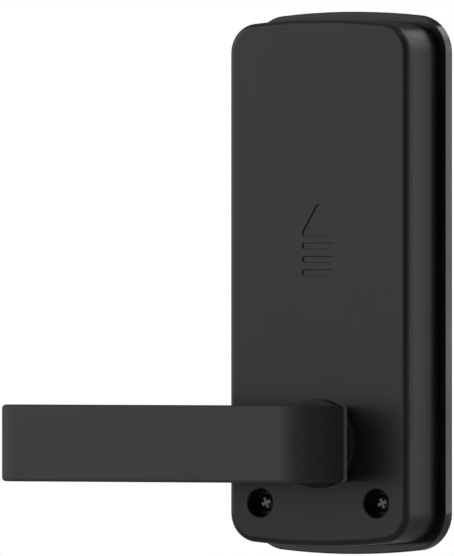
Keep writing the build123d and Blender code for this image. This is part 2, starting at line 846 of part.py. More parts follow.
# Grub screw under the neck, tight against the spindle
with BuildPart(Plane((0, -neck_middle, -spindle_size / 2 - grub_gap))) as lever_set_screw:
    Cylinder(grub_radius, grub_length, align=hanging)
    with BuildSketch(Plane((0, -neck_middle, -spindle_size / 2 - grub_gap - grub_length))):
        RegularPolygon(grub_socket / 2, 6, major_radius=False)
    extrude(amount=grub_socket_depth, mode=Mode.SUBTRACT)
lever_set_screw.part.label = "lever_set_screw"
export_step(lever_set_screw.part, "parts/lever_set_screw.step")

# Drive hub: a disc keyed on the shank's flats, with a lug that meets the spring and the stops
with BuildPart() as drive_hub:
    with BuildSketch(room_plane(drive_hub_back)):
        Circle(hub_radius)
        with Locations((0, lug_outer / 2)):
            Rectangle(lug_width, lug_outer)
        with BuildSketch(room_plane(drive_hub_back), mode=Mode.SUBTRACT):
            Circle(shank_radius + stack_gap)
            Rectangle(2 * (shank_flat + stack_gap), 4 * shank_radius, mode=Mode.INTERSECT)
    extrude(amount=hub_thickness)
    with BuildSketch(room_plane(drive_hub_front)):
        with Locations((0, lug_middle)):
            Rectangle(lug_width, lug_thickness)
    extrude(amount=lug_length)
drive_hub.part.label = "drive_hub"
export_step(drive_hub.part, "parts/drive_hub.step")

# Washer and open retaining ring behind the hub
with BuildPart(room_plane(washer_back)) as hub_washer:
    Cylinder(washer_radius, washer_thickness, align=seated)
    Cylinder(shank_radius + stack_gap, 2 * front, mode=Mode.SUBTRACT)
hub_washer.part.label = "hub_washer"
export_step(hub_washer.part, "parts/hub_washer.step")

with BuildPart(room_plane(ring_back)) as retaining_ring:
    Cylinder(ring_radius, ring_thickness, align=seated)
    Cylinder(shank_radius - ring_bite + stack_gap, 2 * front, mode=Mode.SUBTRACT)
    with BuildSketch(room_plane(ring_back)):
        with BuildLine():
            opening = CenterArc((0, 0), 2 * ring_radius, -90 - ring_opening / 2, ring_opening)
            Line((0, 0), opening @ 0)
            Line((0, 0), opening @ 1)
        make_face()
    extrude(amount=ring_thickness, mode=Mode.SUBTRACT)
retaining_ring.part.label = "retaining_ring"
export_step(retaining_ring.part, "parts/retaining_ring.step")

# Return spring: its legs close round the rest stop and the hub's lug
with BuildPart(room_plane(spring_front)) as return_spring:
    add(
        coil(
            spring_radius,
            spring_wire,
            coil_start,
            coil_sweep,
            coil_rise,
            math.sqrt(fixed_leg_end.length**2 - spring_radius**2),
            math.sqrt(moving_leg_end.length**2 - spring_radius**2),
        )
    )
return_spring.part.label = "return_spring"
export_step(return_spring.part, "parts/return_spring.step")
print("gap between turns of the return spring", round(spring_pitch - spring_wire, 2))

# Battery tray: hangs behind the deck on two ears, with ribs between the cells
tray_middle = (tray_bottom + tray_top) / 2
with BuildPart(room_plane(tray_back)) as battery_tray:
    with Locations((0, tray_middle)):
        Box(2 * tray_half, tray_top - tray_bottom, tray_front - tray_back, align=seated)
    with Locations((0, tray_middle, tray_floor)):
        Box(2 * window_half, tray_inside, tray_front, align=seated, mode=Mode.SUBTRACT)
    with Locations(*[(x + cell_pitch / 2, tray_middle, tray_floor) for x in cell_places[:-1]]):
        Box(cradle_rib_width, tray_inside, cradle_rib_height, align=seated)
    with Locations(*[(x, z, ear_back - tray_back) for x, z in ear_places]):
        Box(ear_width, ear_length, ear_thickness, align=seated)
        Cylinder(tap_radius + tap_hole_gap, ear_thickness, align=seated, mode=Mode.SUBTRACT)
    for side in (-1, 1):
        tab_middle = side * (cell_places[-1] - contact_width / 2 + tab_inset + tab_width / 2)
        with Locations((tab_middle, tray_bottom, board_back - contact_thickness / 2 - tray_back)):
            Box(
                tab_width + 2 * tab_slot_gap,
                4 * tray_end_wall,
                contact_thickness + 2 * tab_slot_gap,
                mode=Mode.SUBTRACT,
            )
battery_tray.part.label = "battery_tray"
export_step(battery_tray.part, "parts/battery_tray.step")

# Small screws hold the tray's ears and the board from behind
with BuildPart(door_plane(ear_back)) as tray_screws:
    with Locations(*[(-x, z) for x, z in ear_places]):
        add(tapping_screw())
tray_screws.part.label = "tray_screws"
export_step(tray_screws.part, "parts/tray_screws.step")

with BuildPart(door_plane(board_back)) as board_screws:
    with Locations(*[(-x, z) for x, z in board_screw_places]):
        add(tapping_screw())
board_screws.part.label = "board_screws"
export_step(board_screws.part, "parts/board_screws.step")

# Cells: every second one stands on its head, so that the contacts join them in a row
inside_bottom = tray_bottom + tray_end_wall
inside_top = tray_top - tray_end_wall
negative_face = inside_bottom + contact_thickness + contact_spring_height
for number, x in enumerate(cell_places):
    upright = Plane((x, -cell_axis_depth, negative_face), z_dir=(0, 0, 1))
    inverted = Plane((x, -cell_axis_depth, tray_bottom + tray_top - negative_face), z_dir=(0, 0, -1))
    with BuildPart(inverted if number % 2 else upright) as battery_cell:
        Cylinder(cell_diameter / 2, cell_length - nub_height, align=seated)
        fillet(battery_cell.edges(), cell_edge_round)
        with Locations((0, 0, cell_length - nub_height)):
            Cylinder(nub_diameter / 2, nub_height, align=seated)
    battery_cell.part.label = f"battery_cell_{number + 1}"
    export_step(battery_cell.part, f"parts/battery_cell_{number + 1}.step")

# Contacts: two terminals with tabs to the board, and bridges between neighbouring cells
contact_back = board_back - contact_thickness
contact_front = tray_front - contact_margin
for side, name in ((-1, "negative_terminal"), (1, "positive_terminal")):
    tab_bottom = board_top - tab_overlap
    tab_middle = side * (cell_places[-1] - contact_width / 2 + tab_inset + tab_width / 2)
    with BuildPart(room_plane(contact_back)) as terminal:
        with Locations((side * cell_places[-1], inside_bottom + contact_thickness / 2)):
            Box(contact_width, contact_thickness, contact_front - contact_back, align=seated)
        with Locations((tab_middle, (tab_bottom + inside_bottom) / 2)):
            Box(tab_width, inside_bottom - tab_bottom, contact_thickness, align=seated)
    terminal.part.label = name
    export_step(terminal.part, f"parts/{name}.step")

bridge_width = cell_pitch + contact_width
with BuildPart(room_plane(contact_back)) as lower_bridge_contact:
    with Locations((0, inside_bottom + contact_thickness / 2)):
        Box(bridge_width, contact_thickness, contact_front - contact_back, align=seated)
lower_bridge_contact.part.label = "lower_bridge_contact"
export_step(lower_bridge_contact.part, "parts/lower_bridge_contact.step")

with BuildPart(room_plane(contact_back)) as upper_bridge_contacts:
    with Locations(*[(side * cell_pitch, inside_top - contact_thickness / 2) for side in (-1, 1)]):
        Box(bridge_width, contact_thickness, contact_front - contact_back, align=seated)
upper_bridge_contacts.part.label = "upper_bridge_contacts"
export_step(upper_bridge_contacts.part, "parts/upper_bridge_contacts.step")

contact_rise = contact_spring_height - contact_wire - 2 * contact_gap
with BuildPart() as contact_springs:
    for number, x in enumerate(cell_places):
        seat = inside_bottom + contact_thickness + contact_gap + contact_wire / 2
        if number % 2:
            seat = tray_bottom + tray_top - seat - contact_rise
        with Locations((x, -cell_axis_depth, seat)):
            add(coil(contact_coil_radius, contact_wire, 0, 360 * contact_turns, contact_rise))
contact_springs.part.label = "contact_springs"
export_step(contact_springs.part, "parts/contact_springs.step")
print("gap between turns of a contact spring", round(contact_rise / contact_turns - contact_wire, 2))

# Circuit board, screwed to the bosses behind the deck
with BuildPart(room_plane(board_back)) as control_board:
    with BuildSketch(room_plane(board_back, board_middle)):
        RectangleRounded(board_width, board_height, board_corner)
        with GridLocations(2 * board_hole_x, 2 * board_hole_z, 2, 2):
            Circle(tap_radius + tap_hole_gap, mode=Mode.SUBTRACT)
    extrude(amount=board_thickness)
control_board.part.label = "control_board"
export_step(control_board.part, "parts/control_board.step")

# Parts on the board's front: chip, radio module, capacitors, coil and sounder
with BuildPart(room_plane(board_front, board_middle)) as board_parts:
    with Locations((capacitor_x, -capacitor_drop), (capacitor_x - capacitor_pitch, -capacitor_drop)):
        Cylinder(capacitor_radius, capacitor_height, align=seated)
    fillet(board_parts.edges().group_by(Axis.Y)[0], capacitor_round)
    with Locations((chip_x, upper_part_rise)):
        Box(chip_size, chip_size, chip_height, align=seated)
    with Locations((radio_x, -radio_drop)):
        Box(radio_width, radio_length, radio_height, align=seated)
    with Locations((coil_x, -coil_drop)):
        Box(coil_size, coil_size, coil_height, align=seated)
    with Locations((sounder_x, upper_part_rise)):
        Cylinder(sounder_radius, sounder_height, align=seated)
board_parts.part.label = "board_parts"
export_step(board_parts.part, "parts/board_parts.step")

# Cable socket on the board's back, open towards the slot in the plate, and its pins
with BuildPart(door_plane(board_back, board_middle)) as cable_socket:
    Box(socket_width, socket_height, socket_depth, align=seated)
    with Locations((0, 0, socket_floor)):
        Box(
            socket_width - 2 * socket_wall,
            socket_height - 2 * socket_wall,
            socket_depth,
            align=seated,
            mode=Mode.SUBTRACT,
        )
cable_socket.part.label = "cable_socket"
export_step(cable_socket.part, "parts/cable_socket.step")

pin_pitch = (socket_width - 2 * socket_wall) / pin_count
with BuildPart(door_plane(board_back, board_middle)) as socket_pins:
    with Locations((0, 0, socket_floor)):
        with GridLocations(pin_pitch, 0, pin_count, 1):
            Box(pin_size, pin_size, socket_depth - socket_floor - pin_short, align=seated)
socket_pins.part.label = "socket_pins"
export_step(socket_pins.part, "parts/socket_pins.step")

# Reset switch, and the button that reaches it through the deck
with BuildPart(room_plane(board_front)) as reset_switch:
    with Locations(switch_place):
        Box(switch_size, switch_size, switch_height, align=seated)
    with Locations((*switch_place, switch_height)):
        Hole(button_radius + switch_well_gap, switch_well_depth)
reset_switch.part.label = "reset_switch"
export_step(reset_switch.part, "parts/reset_switch.step")

button_back = board_front + switch_height - switch_well_depth + button_travel + button_stop_gap
with BuildPart(room_plane(button_back)) as reset_button:
    with Locations(switch_place):
        Cylinder(button_radius, deck_front - button_below_deck - button_back, align=seated)
    fillet(reset_button.edges().group_by(Axis.Y)[0], button_top_round)
    with Locations((*switch_place, deck_back - button_stop_gap - button_back)):
        Cylinder(button_flange_radius, button_flange, align=hanging)
reset_button.part.label = "reset_button"
export_step(reset_button.part, "parts/reset_button.step")

print("casing", round(casing_width, 2), round(casing_height, 2), round(casing_depth, 2))
print("plate", round(plate_width, 2), round(plate_height, 2), "shank ends at", round(shank_end, 2))
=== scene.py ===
import math
import bpy
import bmesh
from bmesh.types import BMEdge, BMFace, BMVert
from mathutils import Matrix, Vector


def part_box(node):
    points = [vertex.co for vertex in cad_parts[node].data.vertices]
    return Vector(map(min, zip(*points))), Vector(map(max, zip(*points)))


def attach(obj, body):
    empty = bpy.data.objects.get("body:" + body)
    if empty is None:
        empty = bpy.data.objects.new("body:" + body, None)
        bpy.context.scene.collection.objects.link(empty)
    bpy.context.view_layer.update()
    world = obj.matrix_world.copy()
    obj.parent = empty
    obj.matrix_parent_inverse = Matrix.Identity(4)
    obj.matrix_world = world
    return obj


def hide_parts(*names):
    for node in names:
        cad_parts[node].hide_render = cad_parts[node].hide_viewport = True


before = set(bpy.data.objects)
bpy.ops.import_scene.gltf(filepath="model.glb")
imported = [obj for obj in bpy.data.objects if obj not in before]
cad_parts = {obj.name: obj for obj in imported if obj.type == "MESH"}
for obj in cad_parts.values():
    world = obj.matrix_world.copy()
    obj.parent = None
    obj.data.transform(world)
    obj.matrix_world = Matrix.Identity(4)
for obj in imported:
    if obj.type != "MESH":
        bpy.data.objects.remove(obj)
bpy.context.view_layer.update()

# Mounting plate: a die casting against the door, sprayed black with some gloss. Its rim shows round the
# casing, and the through bolts from the outdoor half hold it to the door.
mm = 0.001
peel_depth = 0.02 * mm
peel_tones = (0.97, 1.03)
cloud_scale = 45.0
skin_outputs = [
    ("Color", "NodeSocketColor"),
    ("Roughness", "NodeSocketFloat"),
    ("Normal", "NodeSocketVector"),
]


def new_material(name):
    """Empty material with a Principled BSDF, returned with its node tree and the shader."""
    material = bpy.data.materials.new(name)
    material.use_nodes = True
    tree = material.node_tree
    return material, tree, tree.nodes["Principled BSDF"]


def new_group(name, inputs, outputs):
    """Shader node group with the named sockets, returned with its input and output nodes."""
    group = bpy.data.node_groups.new(name, "ShaderNodeTree")
    for socket, kind, value in inputs:
        made = group.interface.new_socket(socket, in_out="INPUT", socket_type=kind)
        made.default_value = value
    for socket, kind in outputs:
        group.interface.new_socket(socket, in_out="OUTPUT", socket_type=kind)
    return group, group.nodes.new("NodeGroupInput"), group.nodes.new("NodeGroupOutput")


def place_group(tree, group, **values):
    """Node that uses a group in a material, with its own values."""
    node = tree.nodes.new("ShaderNodeGroup")
    node.node_tree = group
    for socket, value in values.items():
        node.inputs[socket.replace("_", " ")].default_value = value
    return node


def feed(tree, source, socket):
    """Leads an output to a socket, or sets the socket to a number or a shade."""
    if isinstance(source, bpy.types.NodeSocket):
        tree.links.new(source, socket)
    elif isinstance(source, tuple):
        socket.default_value = (*source, 1)
    else:
        socket.default_value = source


def add_node(tree, kind, **sources):
    """Node of a kind, with outputs, numbers and shades fed to its inputs by their names."""
    node = tree.nodes.new(f"ShaderNode{kind}")
    for socket, source in sources.items():
        feed(tree, source, node.inputs[socket.replace("_", " ")])
    return node


def spread(tree, value, low, high, start=0.3, stop=0.7):
    """Output that stretches a value, by default the middle of a noise, from low to high."""
    node = add_node(tree, "MapRange", Value=value, From_Min=start, From_Max=stop, To_Min=low, To_Max=high)
    return node.outputs["Result"]


def tinted(tree, shade, tone):
    """Output of a shade made lighter or darker by a tone."""
    node = add_node(tree, "Mix")
    node.data_type = "RGBA"
    node.blend_type = "MULTIPLY"
    node.inputs["Factor"].default_value = 1.0
    tree.links.new(shade, node.inputs["A"])
    tree.links.new(tone, node.inputs["B"])
    return node.outputs["Result"]


def relief(tree, height, strength, depth):
    """Normal of a fine relief, with the depth of its bumps in metres."""
    node = add_node(tree, "Bump", Height=height, Strength=strength, Distance=depth)
    return node.outputs["Normal"]


def noise(tree, place, scale, detail):
    """Output of a noise over a place."""
    return add_node(tree, "TexNoise", Vector=place, Scale=scale, Detail=detail).outputs["Fac"]


def coat_group():
    """Sprayed or moulded skin: fine orange peel, with faint clouding of the gloss."""
    group, into, out = new_group(
        "coat",
        [
            ("Shade", "NodeSocketColor", (0.03, 0.03, 0.03, 1)),
            ("Gloss low", "NodeSocketFloat", 0.35),
            ("Gloss high", "NodeSocketFloat", 0.45),
            ("Peel scale", "NodeSocketFloat", 1800.0),
            ("Peel height", "NodeSocketFloat", 0.2),
        ],
        skin_outputs,
    )
    place = add_node(group, "TexCoord").outputs["Object"]
    peel = noise(group, place, into.outputs["Peel scale"], detail=2.0)
    cloud = noise(group, place, cloud_scale, detail=4.0)
    gloss = spread(group, cloud, into.outputs["Gloss low"], into.outputs["Gloss high"])
    group.links.new(gloss, out.inputs["Roughness"])
    tone = spread(group, peel, *peel_tones)
    group.links.new(tinted(group, into.outputs["Shade"], tone), out.inputs["Color"])
    bumps = relief(group, peel, into.outputs["Peel height"], peel_depth)
    group.links.new(bumps, out.inputs["Normal"])
    return group


coat = coat_group()


def skin(tree, shader, node):
    """Leads the outputs of a coat or metal node to a shader."""
    tree.links.new(node.outputs["Color"], shader.inputs["Base Color"])
    tree.links.new(node.outputs["Roughness"], shader.inputs["Roughness"])
    tree.links.new(node.outputs["Normal"], shader.inputs["Normal"])


def coated(name, shade, gloss, peel_scale=1800.0, peel_height=0.2, specular=0.5):
    """Paint or moulded plastic: a shade, the range of its roughness and its orange peel."""
    material, tree, shader = new_material(name)
    surface = place_group(
        tree,
        coat,
        Shade=(*shade, 1),
        Gloss_low=gloss[0],
        Gloss_high=gloss[1],
        Peel_scale=peel_scale,
        Peel_height=peel_height,
    )
    shader.inputs["Specular IOR Level"].default_value = specular
    skin(tree, shader, surface)
    return material


def dress(material, *names):
    """Gives CAD nodes a finish."""
    for name in names:
        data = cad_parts[name].data
        data.materials.clear()
        data.materials.append(material)


plate_black = coated("plate_gloss_black", shade=(0.012, 0.012, 0.0122), gloss=(0.08, 0.12))
dress(plate_black, "mounting_plate")

# Screw posts: three turned steel posts, zinc plated, with a tapped hole each. Their spigots are riveted
# into the plate.
grain_depth = 0.01 * mm
grain_tones = (0.88, 1.06)


def metal_group():
    """Bare or plated metal: a grain that can be drawn out along an axis, in shade, gloss and height."""
    group, into, out = new_group(
        "metal",
        [
            ("Shade", "NodeSocketColor", (0.6, 0.6, 0.6, 1)),
            ("Gloss low", "NodeSocketFloat", 0.25),
            ("Gloss high", "NodeSocketFloat", 0.4),
            ("Grain", "NodeSocketVector", (2000.0, 2000.0, 2000.0)),
            ("Grain height", "NodeSocketFloat", 0.1),
        ],
        skin_outputs,
    )
    drawn = add_node(group, "VectorMath")
    drawn.operation = "MULTIPLY"
    group.links.new(add_node(group, "TexCoord").outputs["Object"], drawn.inputs[0])
    group.links.new(into.outputs["Grain"], drawn.inputs[1])
    grain = noise(group, drawn.outputs["Vector"], 1.0, detail=3.0)
    gloss = spread(group, grain, into.outputs["Gloss low"], into.outputs["Gloss high"])
    group.links.new(gloss, out.inputs["Roughness"])
    tone = spread(group, grain, *grain_tones)
    group.links.new(tinted(group, into.outputs["Shade"], tone), out.inputs["Color"])
    lines = relief(group, grain, into.outputs["Grain height"], grain_depth)
    group.links.new(lines, out.inputs["Normal"])
    return group


metal = metal_group()


def metallic(name, shade, gloss, grain=(2000.0, 2000.0, 2000.0), height=0.1):
    """Metal: a shade, the range of its roughness and how often its grain repeats along X, Y and Z."""
    material, tree, shader = new_material(name)
    surface = place_group(
        tree,
        metal,
        Shade=(*shade, 1),
        Gloss_low=gloss[0],
        Gloss_high=gloss[1],
        Grain=grain,
        Grain_height=height,
    )
    shader.inputs["Metallic"].default_value = 1.0
    skin(tree, shader, surface)
    return material


zinc = metallic(
    "zinc_plated_steel", shade=(0.6, 0.6, 0.58), gloss=(0.28, 0.42), grain=(900.0, 5000.0, 900.0)
)
dress(zinc, "screw_posts")

# Housing: the casing, a die casting sprayed satin black all over. It stands on the plate, and three
# screws draw it down onto the posts.
casing_black = coated(
    "casing_satin_black", shade=(0.011, 0.011, 0.0112), gloss=(0.28, 0.32), specular=0.43
)
dress(casing_black, "housing")

# Rose: a turned collar in matt black, under the lever's foot. Its spigot is pressed into the casing's
# hub.
rose_black = coated("rose_matt_black", shade=(0.018, 0.018, 0.0182), gloss=(0.55, 0.62), specular=0.2)
dress(rose_black, "lever_rose")

# Bush: a flanged sleeve, moulded in natural nylon. It sits in the rose, and the lever's shank turns in
# it with hardly any play.
nylon = coated("natural_nylon", shade=(0.72, 0.69, 0.6), gloss=(0.4, 0.5), peel_scale=900.0)
dress(nylon, "lever_bush")

# Lever: bar, elbow, neck and shank are one die casting, sprayed matt black. It is pushed through the
# bush from the room.
lever_black = coated("lever_matt_black", shade=(0.041, 0.041, 0.0415), gloss=(0.48, 0.54), specular=0.15)
dress(lever_black, "lever")

# Spacer: a dark grey moulded plate between the lever's neck and the rose, where its edge shows as a
# light line. It turns with the lever.
spacer_grey = coated("spacer_grey", shade=(0.2, 0.2, 0.202), gloss=(0.4, 0.5))
dress(spacer_grey, "neck_spacer")

# Spindle: cold-drawn square bar, zinc plated, with the marks of drawing along it. A grub screw with a
# hexagon socket, blackened in oil, holds it from under the neck.
drawn_bar = metallic(
    "drawn_bar", shade=(0.56, 0.56, 0.54), gloss=(0.25, 0.42), grain=(4000.0, 60.0, 4000.0), height=0.3
)
dress(drawn_bar, "spindle")
black_oxide = metallic("black_oxide", shade=(0.06, 0.06, 0.062), gloss=(0.35, 0.5))
dress(black_oxide, "lever_set_screw")

# Return spring: three turns of oil-hardened spring wire, which lift the lever back. One leg rests on the
# casing's stop, and the hub's lug pushes the other.
spring_steel = metallic(
    "spring_steel", shade=(0.3, 0.3, 0.31), gloss=(0.28, 0.4), grain=(1500.0, 1500.0, 1500.0)
)
dress(spring_steel, "return_spring")

# Drive hub and washer: stampings on the shank's flats, zinc plated. An open ring of phosphated spring
# steel, snapped into the shank's groove, holds them.
dress(zinc, "drive_hub", "hub_washer")
phosphated = metallic("phosphated_steel", shade=(0.13, 0.13, 0.135), gloss=(0.4, 0.55))
dress(phosphated, "retaining_ring")

# Control board: glass-fibre laminate under green solder mask, with copper tracks, plated vias and bare
# pads round its four screw holes. It is screwed to bosses behind the casing's deck.
board_low, board_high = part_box("control_board")
board_middle = (board_low + board_high) / 2
board_hole_inset = 3 * mm
hole_pad_radius = 2.2 * mm
pattern_unit = 1 / mm
track_scale = 0.2
track_run = 1.4
track_width = 0.035
track_blur = 0.1
track_depth = 0.03 * mm
track_strength = 0.4
via_scale = 0.4
via_radius = 0.12
mask_green = (0.006, 0.05, 0.022)
track_green = (0.015, 0.1, 0.045)
pad_tin = (0.7, 0.68, 0.62)
bare_laminate = (0.32, 0.3, 0.14)
mask_roughness = 0.3
laminate_roughness = 0.7


def math_node(tree, operation, *values):
    """Output of a Math node whose inputs are numbers or other outputs."""
    node = add_node(tree, "Math")
    node.operation = operation
    for socket, value in zip(node.inputs, values):
        feed(tree, value, socket)
    return node.outputs["Value"]


def painted_over(tree, under, over, mask):
    """Output of one colour laid over another where a mask is 1."""
    node = add_node(tree, "Mix")
    node.data_type = "RGBA"
    for source, socket in ((under, "A"), (over, "B"), (mask, "Factor")):
        feed(tree, source, node.inputs[socket])
    return node.outputs["Result"]


def hole_pads(tree, place):
    """Mask of the round pads about the board's four screw holes."""
    spot = add_node(tree, "SeparateXYZ", Vector=place)
    squares = []
    for number, axis in ((0, "X"), (2, "Z")):
        hole = board_high[number] - board_middle[number] - board_hole_inset
        off_middle = math_node(tree, "SUBTRACT", spot.outputs[axis], board_middle[number])
        off_hole = math_node(tree, "SUBTRACT", math_node(tree, "ABSOLUTE", off_middle), hole)
        squares.append(math_node(tree, "POWER", off_hole, 2.0))
    return math_node(tree, "LESS_THAN", math_node(tree, "ADD", *squares), hole_pad_radius**2)


def solder_mask():
    """Board finish: mask over copper tracks, tinned vias and pads, and bare laminate on the edges."""
    material, tree, shader = new_material("solder_mask")
    place = add_node(tree, "TexCoord")
    flat = add_node(tree, "Mapping", Vector=place.outputs["Object"])
    flat.inputs["Rotation"].default_value = (math.radians(90), 0, 0)
    flat.inputs["Scale"].default_value = (pattern_unit, pattern_unit, pattern_unit)
    tracks = add_node(
        tree,
        "TexBrick",
        Vector=flat.outputs["Vector"],
        Scale=track_scale,
        Brick_Width=track_run,
        Mortar_Size=track_width,
        Mortar_Smooth=track_blur,
        Color1=(0, 0, 0),
        Color2=(0, 0, 0),
        Mortar=(1, 1, 1),
    )
    vias = add_node(tree, "TexVoronoi", Vector=flat.outputs["Vector"], Scale=via_scale)
    via = math_node(tree, "LESS_THAN", vias.outputs["Distance"], via_radius)
    tinned = math_node(tree, "MAXIMUM", via, hole_pads(tree, place.outputs["Object"]))
    facing = add_node(tree, "SeparateXYZ", Vector=place.outputs["Normal"])
    edge = math_node(tree, "LESS_THAN", math_node(tree, "ABSOLUTE", facing.outputs["Y"]), 0.5)
    bare = math_node(tree, "MULTIPLY", tinned, math_node(tree, "SUBTRACT", 1.0, edge))
    green = painted_over(tree, mask_green, track_green, tracks.outputs["Color"])
    face = painted_over(tree, green, pad_tin, bare)
    tree.links.new(painted_over(tree, face, bare_laminate, edge), shader.inputs["Base Color"])
    tree.links.new(bare, shader.inputs["Metallic"])
    rougher = laminate_roughness - mask_roughness
    gloss = math_node(tree, "MULTIPLY_ADD", edge, rougher, mask_roughness)
    tree.links.new(gloss, shader.inputs["Roughness"])
    raised = relief(tree, tracks.outputs["Fac"], track_strength, track_depth)
    tree.links.new(raised, shader.inputs["Normal"])
    return material


dress(solder_mask(), "control_board")

# Chip: a square moulded package in dull black epoxy, with a row of tinned gull-wing leads along each
# side and a dimple at its first lead. It is soldered to the front of the board.
chip_place = Vector((-2.3, 6.5)) * mm
chip_span = 9.0 * mm
chip_height = 1.4 * mm
chip_body = 7.0 * mm
chip_stand_off = 0.15 * mm
chip_draft = 0.12 * mm
chip_edge = 0.08 * mm
leads_per_side = 11
lead_pitch = 0.5 * mm
lead_width = 0.22 * mm
lead_thickness = 0.13 * mm
lead_shares = (0.35, 0.2, 0.45)
dimple_radius = 0.45 * mm
dimple_depth = 0.1 * mm
dimple_inset = 2.2 * dimple_radius
dimple_sides = 20
weld = 0.001 * mm
sharp_angle = math.radians(35)
room_turn = Matrix.Rotation(math.radians(90), 4, "X")
epoxy = coated("moulded_epoxy", shade=(0.018, 0.018, 0.019), gloss=(0.5, 0.62), peel_scale=4000.0)
tin = metallic("tinned_leads", shade=(0.68, 0.68, 0.66), gloss=(0.2, 0.32))


def add_piece(name, mesh, materials, replaced):
    """Makes a bmesh a piece of the casing's body, in the stead of a CAD node."""
    bmesh.ops.remove_doubles(mesh, verts=mesh.verts, dist=weld)
    bmesh.ops.recalc_face_normals(mesh, faces=mesh.faces)
    data = bpy.data.meshes.new(name)
    mesh.to_mesh(data)
    mesh.free()
    data.shade_smooth()
    data.set_sharp_from_angle(angle=sharp_angle)
    for material in materials:
        data.materials.append(material)
    piece = bpy.data.objects.new(name, data)
    bpy.context.collection.objects.link(piece)
    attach(piece, "base")
    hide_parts(replaced)


def add_board_part(name, mesh, place, materials, replaced="board_parts"):
    """Seats a part that stands on z 0 on the front of the board, at a place from its middle."""
    seat = Vector((board_middle.x + place.x, board_low.y, board_middle.z + place.y))
    bmesh.ops.transform(mesh, matrix=Matrix.Translation(seat) @ room_turn, verts=mesh.verts)
    add_piece(name, mesh, materials, replaced)


def paint(faces, material):
    """Sets the material of faces by its place in the piece's list."""
    for face in faces:
        face.material_index = material


def only(kind, parts):
    """The vertices, the edges or the faces among parts of a mesh."""
    return [part for part in parts if isinstance(part, kind)]


def edges_of(verts):
    """Edges that meet at vertices, each once and in a steady order."""
    return list(dict.fromkeys(edge for vert in verts for edge in vert.link_edges))


def block(mesh, size, middle, round_edge=0.0, material=0):
    """Box of a size about a middle, with all its edges rounded, and returns its vertices."""
    made = bmesh.ops.create_cube(mesh, size=1.0)["verts"]
    bmesh.ops.scale(mesh, vec=size, verts=made)
    bmesh.ops.translate(mesh, vec=middle, verts=made)
    paint({face for vert in made for face in vert.link_faces}, material)
    if round_edge:
        made = bmesh.ops.bevel(
            mesh,
            geom=edges_of(made),
            offset=round_edge,
            affect="EDGES",
            segments=2,
            profile=0.5,
            material=-1,
        )["verts"]
    return made


def spin(mesh, parts, angle, steps, **options):
    """Spins parts of a mesh about Z."""
    bmesh.ops.spin(mesh, geom=parts, cent=(0, 0, 0), axis=(0, 0, 1), angle=angle, steps=steps, **options)


def lathe(mesh, outline, steps=48):
    """Turns an outline of radius and height about Z, and returns the new faces."""
    points = [mesh.verts.new((radius, 0, height)) for radius, height in outline]
    edges = [mesh.edges.new(pair) for pair in zip(points, points[1:])]
    before = set(mesh.faces)
    spin(mesh, points + edges, 2 * math.pi, steps, use_merge=True)
    return [face for face in mesh.faces if face not in before]


def extruded(mesh, edges, step):
    """Extrudes edges by a step, and returns the new edges."""
    made = bmesh.ops.extrude_edge_only(mesh, edges=edges)["geom"]
    bmesh.ops.translate(mesh, vec=step, verts=only(BMVert, made))
    return only(BMEdge, made)


def gull_wing(mesh, offset):
    """One bent lead on the +X side of the chip, at an offset along it."""
    shoulder = chip_stand_off + (chip_height - chip_stand_off) / 2
    reach = (chip_span - chip_body) / 2
    level, slope, foot = (share * reach for share in lead_shares)
    ends = [mesh.verts.new((chip_body / 2, offset + side * lead_width / 2, shoulder)) for side in (-1, 1)]
    strip = [mesh.edges.new(ends)]
    for step in ((level, 0, 0), (slope, 0, lead_thickness - shoulder), (foot, 0, 0)):
        strip = extruded(mesh, strip, step)


def chip_mesh():
    """Chip with its leads, standing on z 0."""
    mesh = bmesh.new()
    for number in range(leads_per_side):
        gull_wing(mesh, (number - (leads_per_side - 1) / 2) * lead_pitch)
    bmesh.ops.recalc_face_normals(mesh, faces=mesh.faces)
    bmesh.ops.solidify(mesh, geom=mesh.faces[:], thickness=lead_thickness)
    row = mesh.verts[:] + mesh.edges[:] + mesh.faces[:]
    spin(mesh, row, math.radians(270), 3, use_duplicate=True)
    paint(mesh.faces, 1)
    body_height = chip_height - chip_stand_off
    middle = chip_stand_off + body_height / 2
    body = block(mesh, (chip_body, chip_body, body_height), (0, 0, middle), chip_edge)
    top = [vert for vert in body if vert.co.z > middle]
    share = 1 - 2 * chip_draft / chip_body
    bmesh.ops.scale(mesh, vec=(share, share, 1), verts=top)
    lid = max(mesh.faces, key=lambda face: face.calc_center_median().z)
    rim = list(lid.edges)
    bmesh.ops.delete(mesh, geom=[lid], context="FACES_ONLY")
    corner = chip_body / 2 - dimple_inset
    dimple = bmesh.ops.create_circle(mesh, segments=dimple_sides, radius=dimple_radius)["verts"]
    bmesh.ops.translate(mesh, vec=(-corner, corner, chip_height), verts=dimple)
    mouth = edges_of(dimple)
    bmesh.ops.triangle_fill(mesh, edges=rim + mouth, use_beauty=True, normal=(0, 0, 1))
    bmesh.ops.edgeloop_fill(mesh, edges=extruded(mesh, mouth, (0, 0, -dimple_depth)))
    return mesh


add_board_part("processor_chip", chip_mesh(), chip_place, [epoxy, tin])

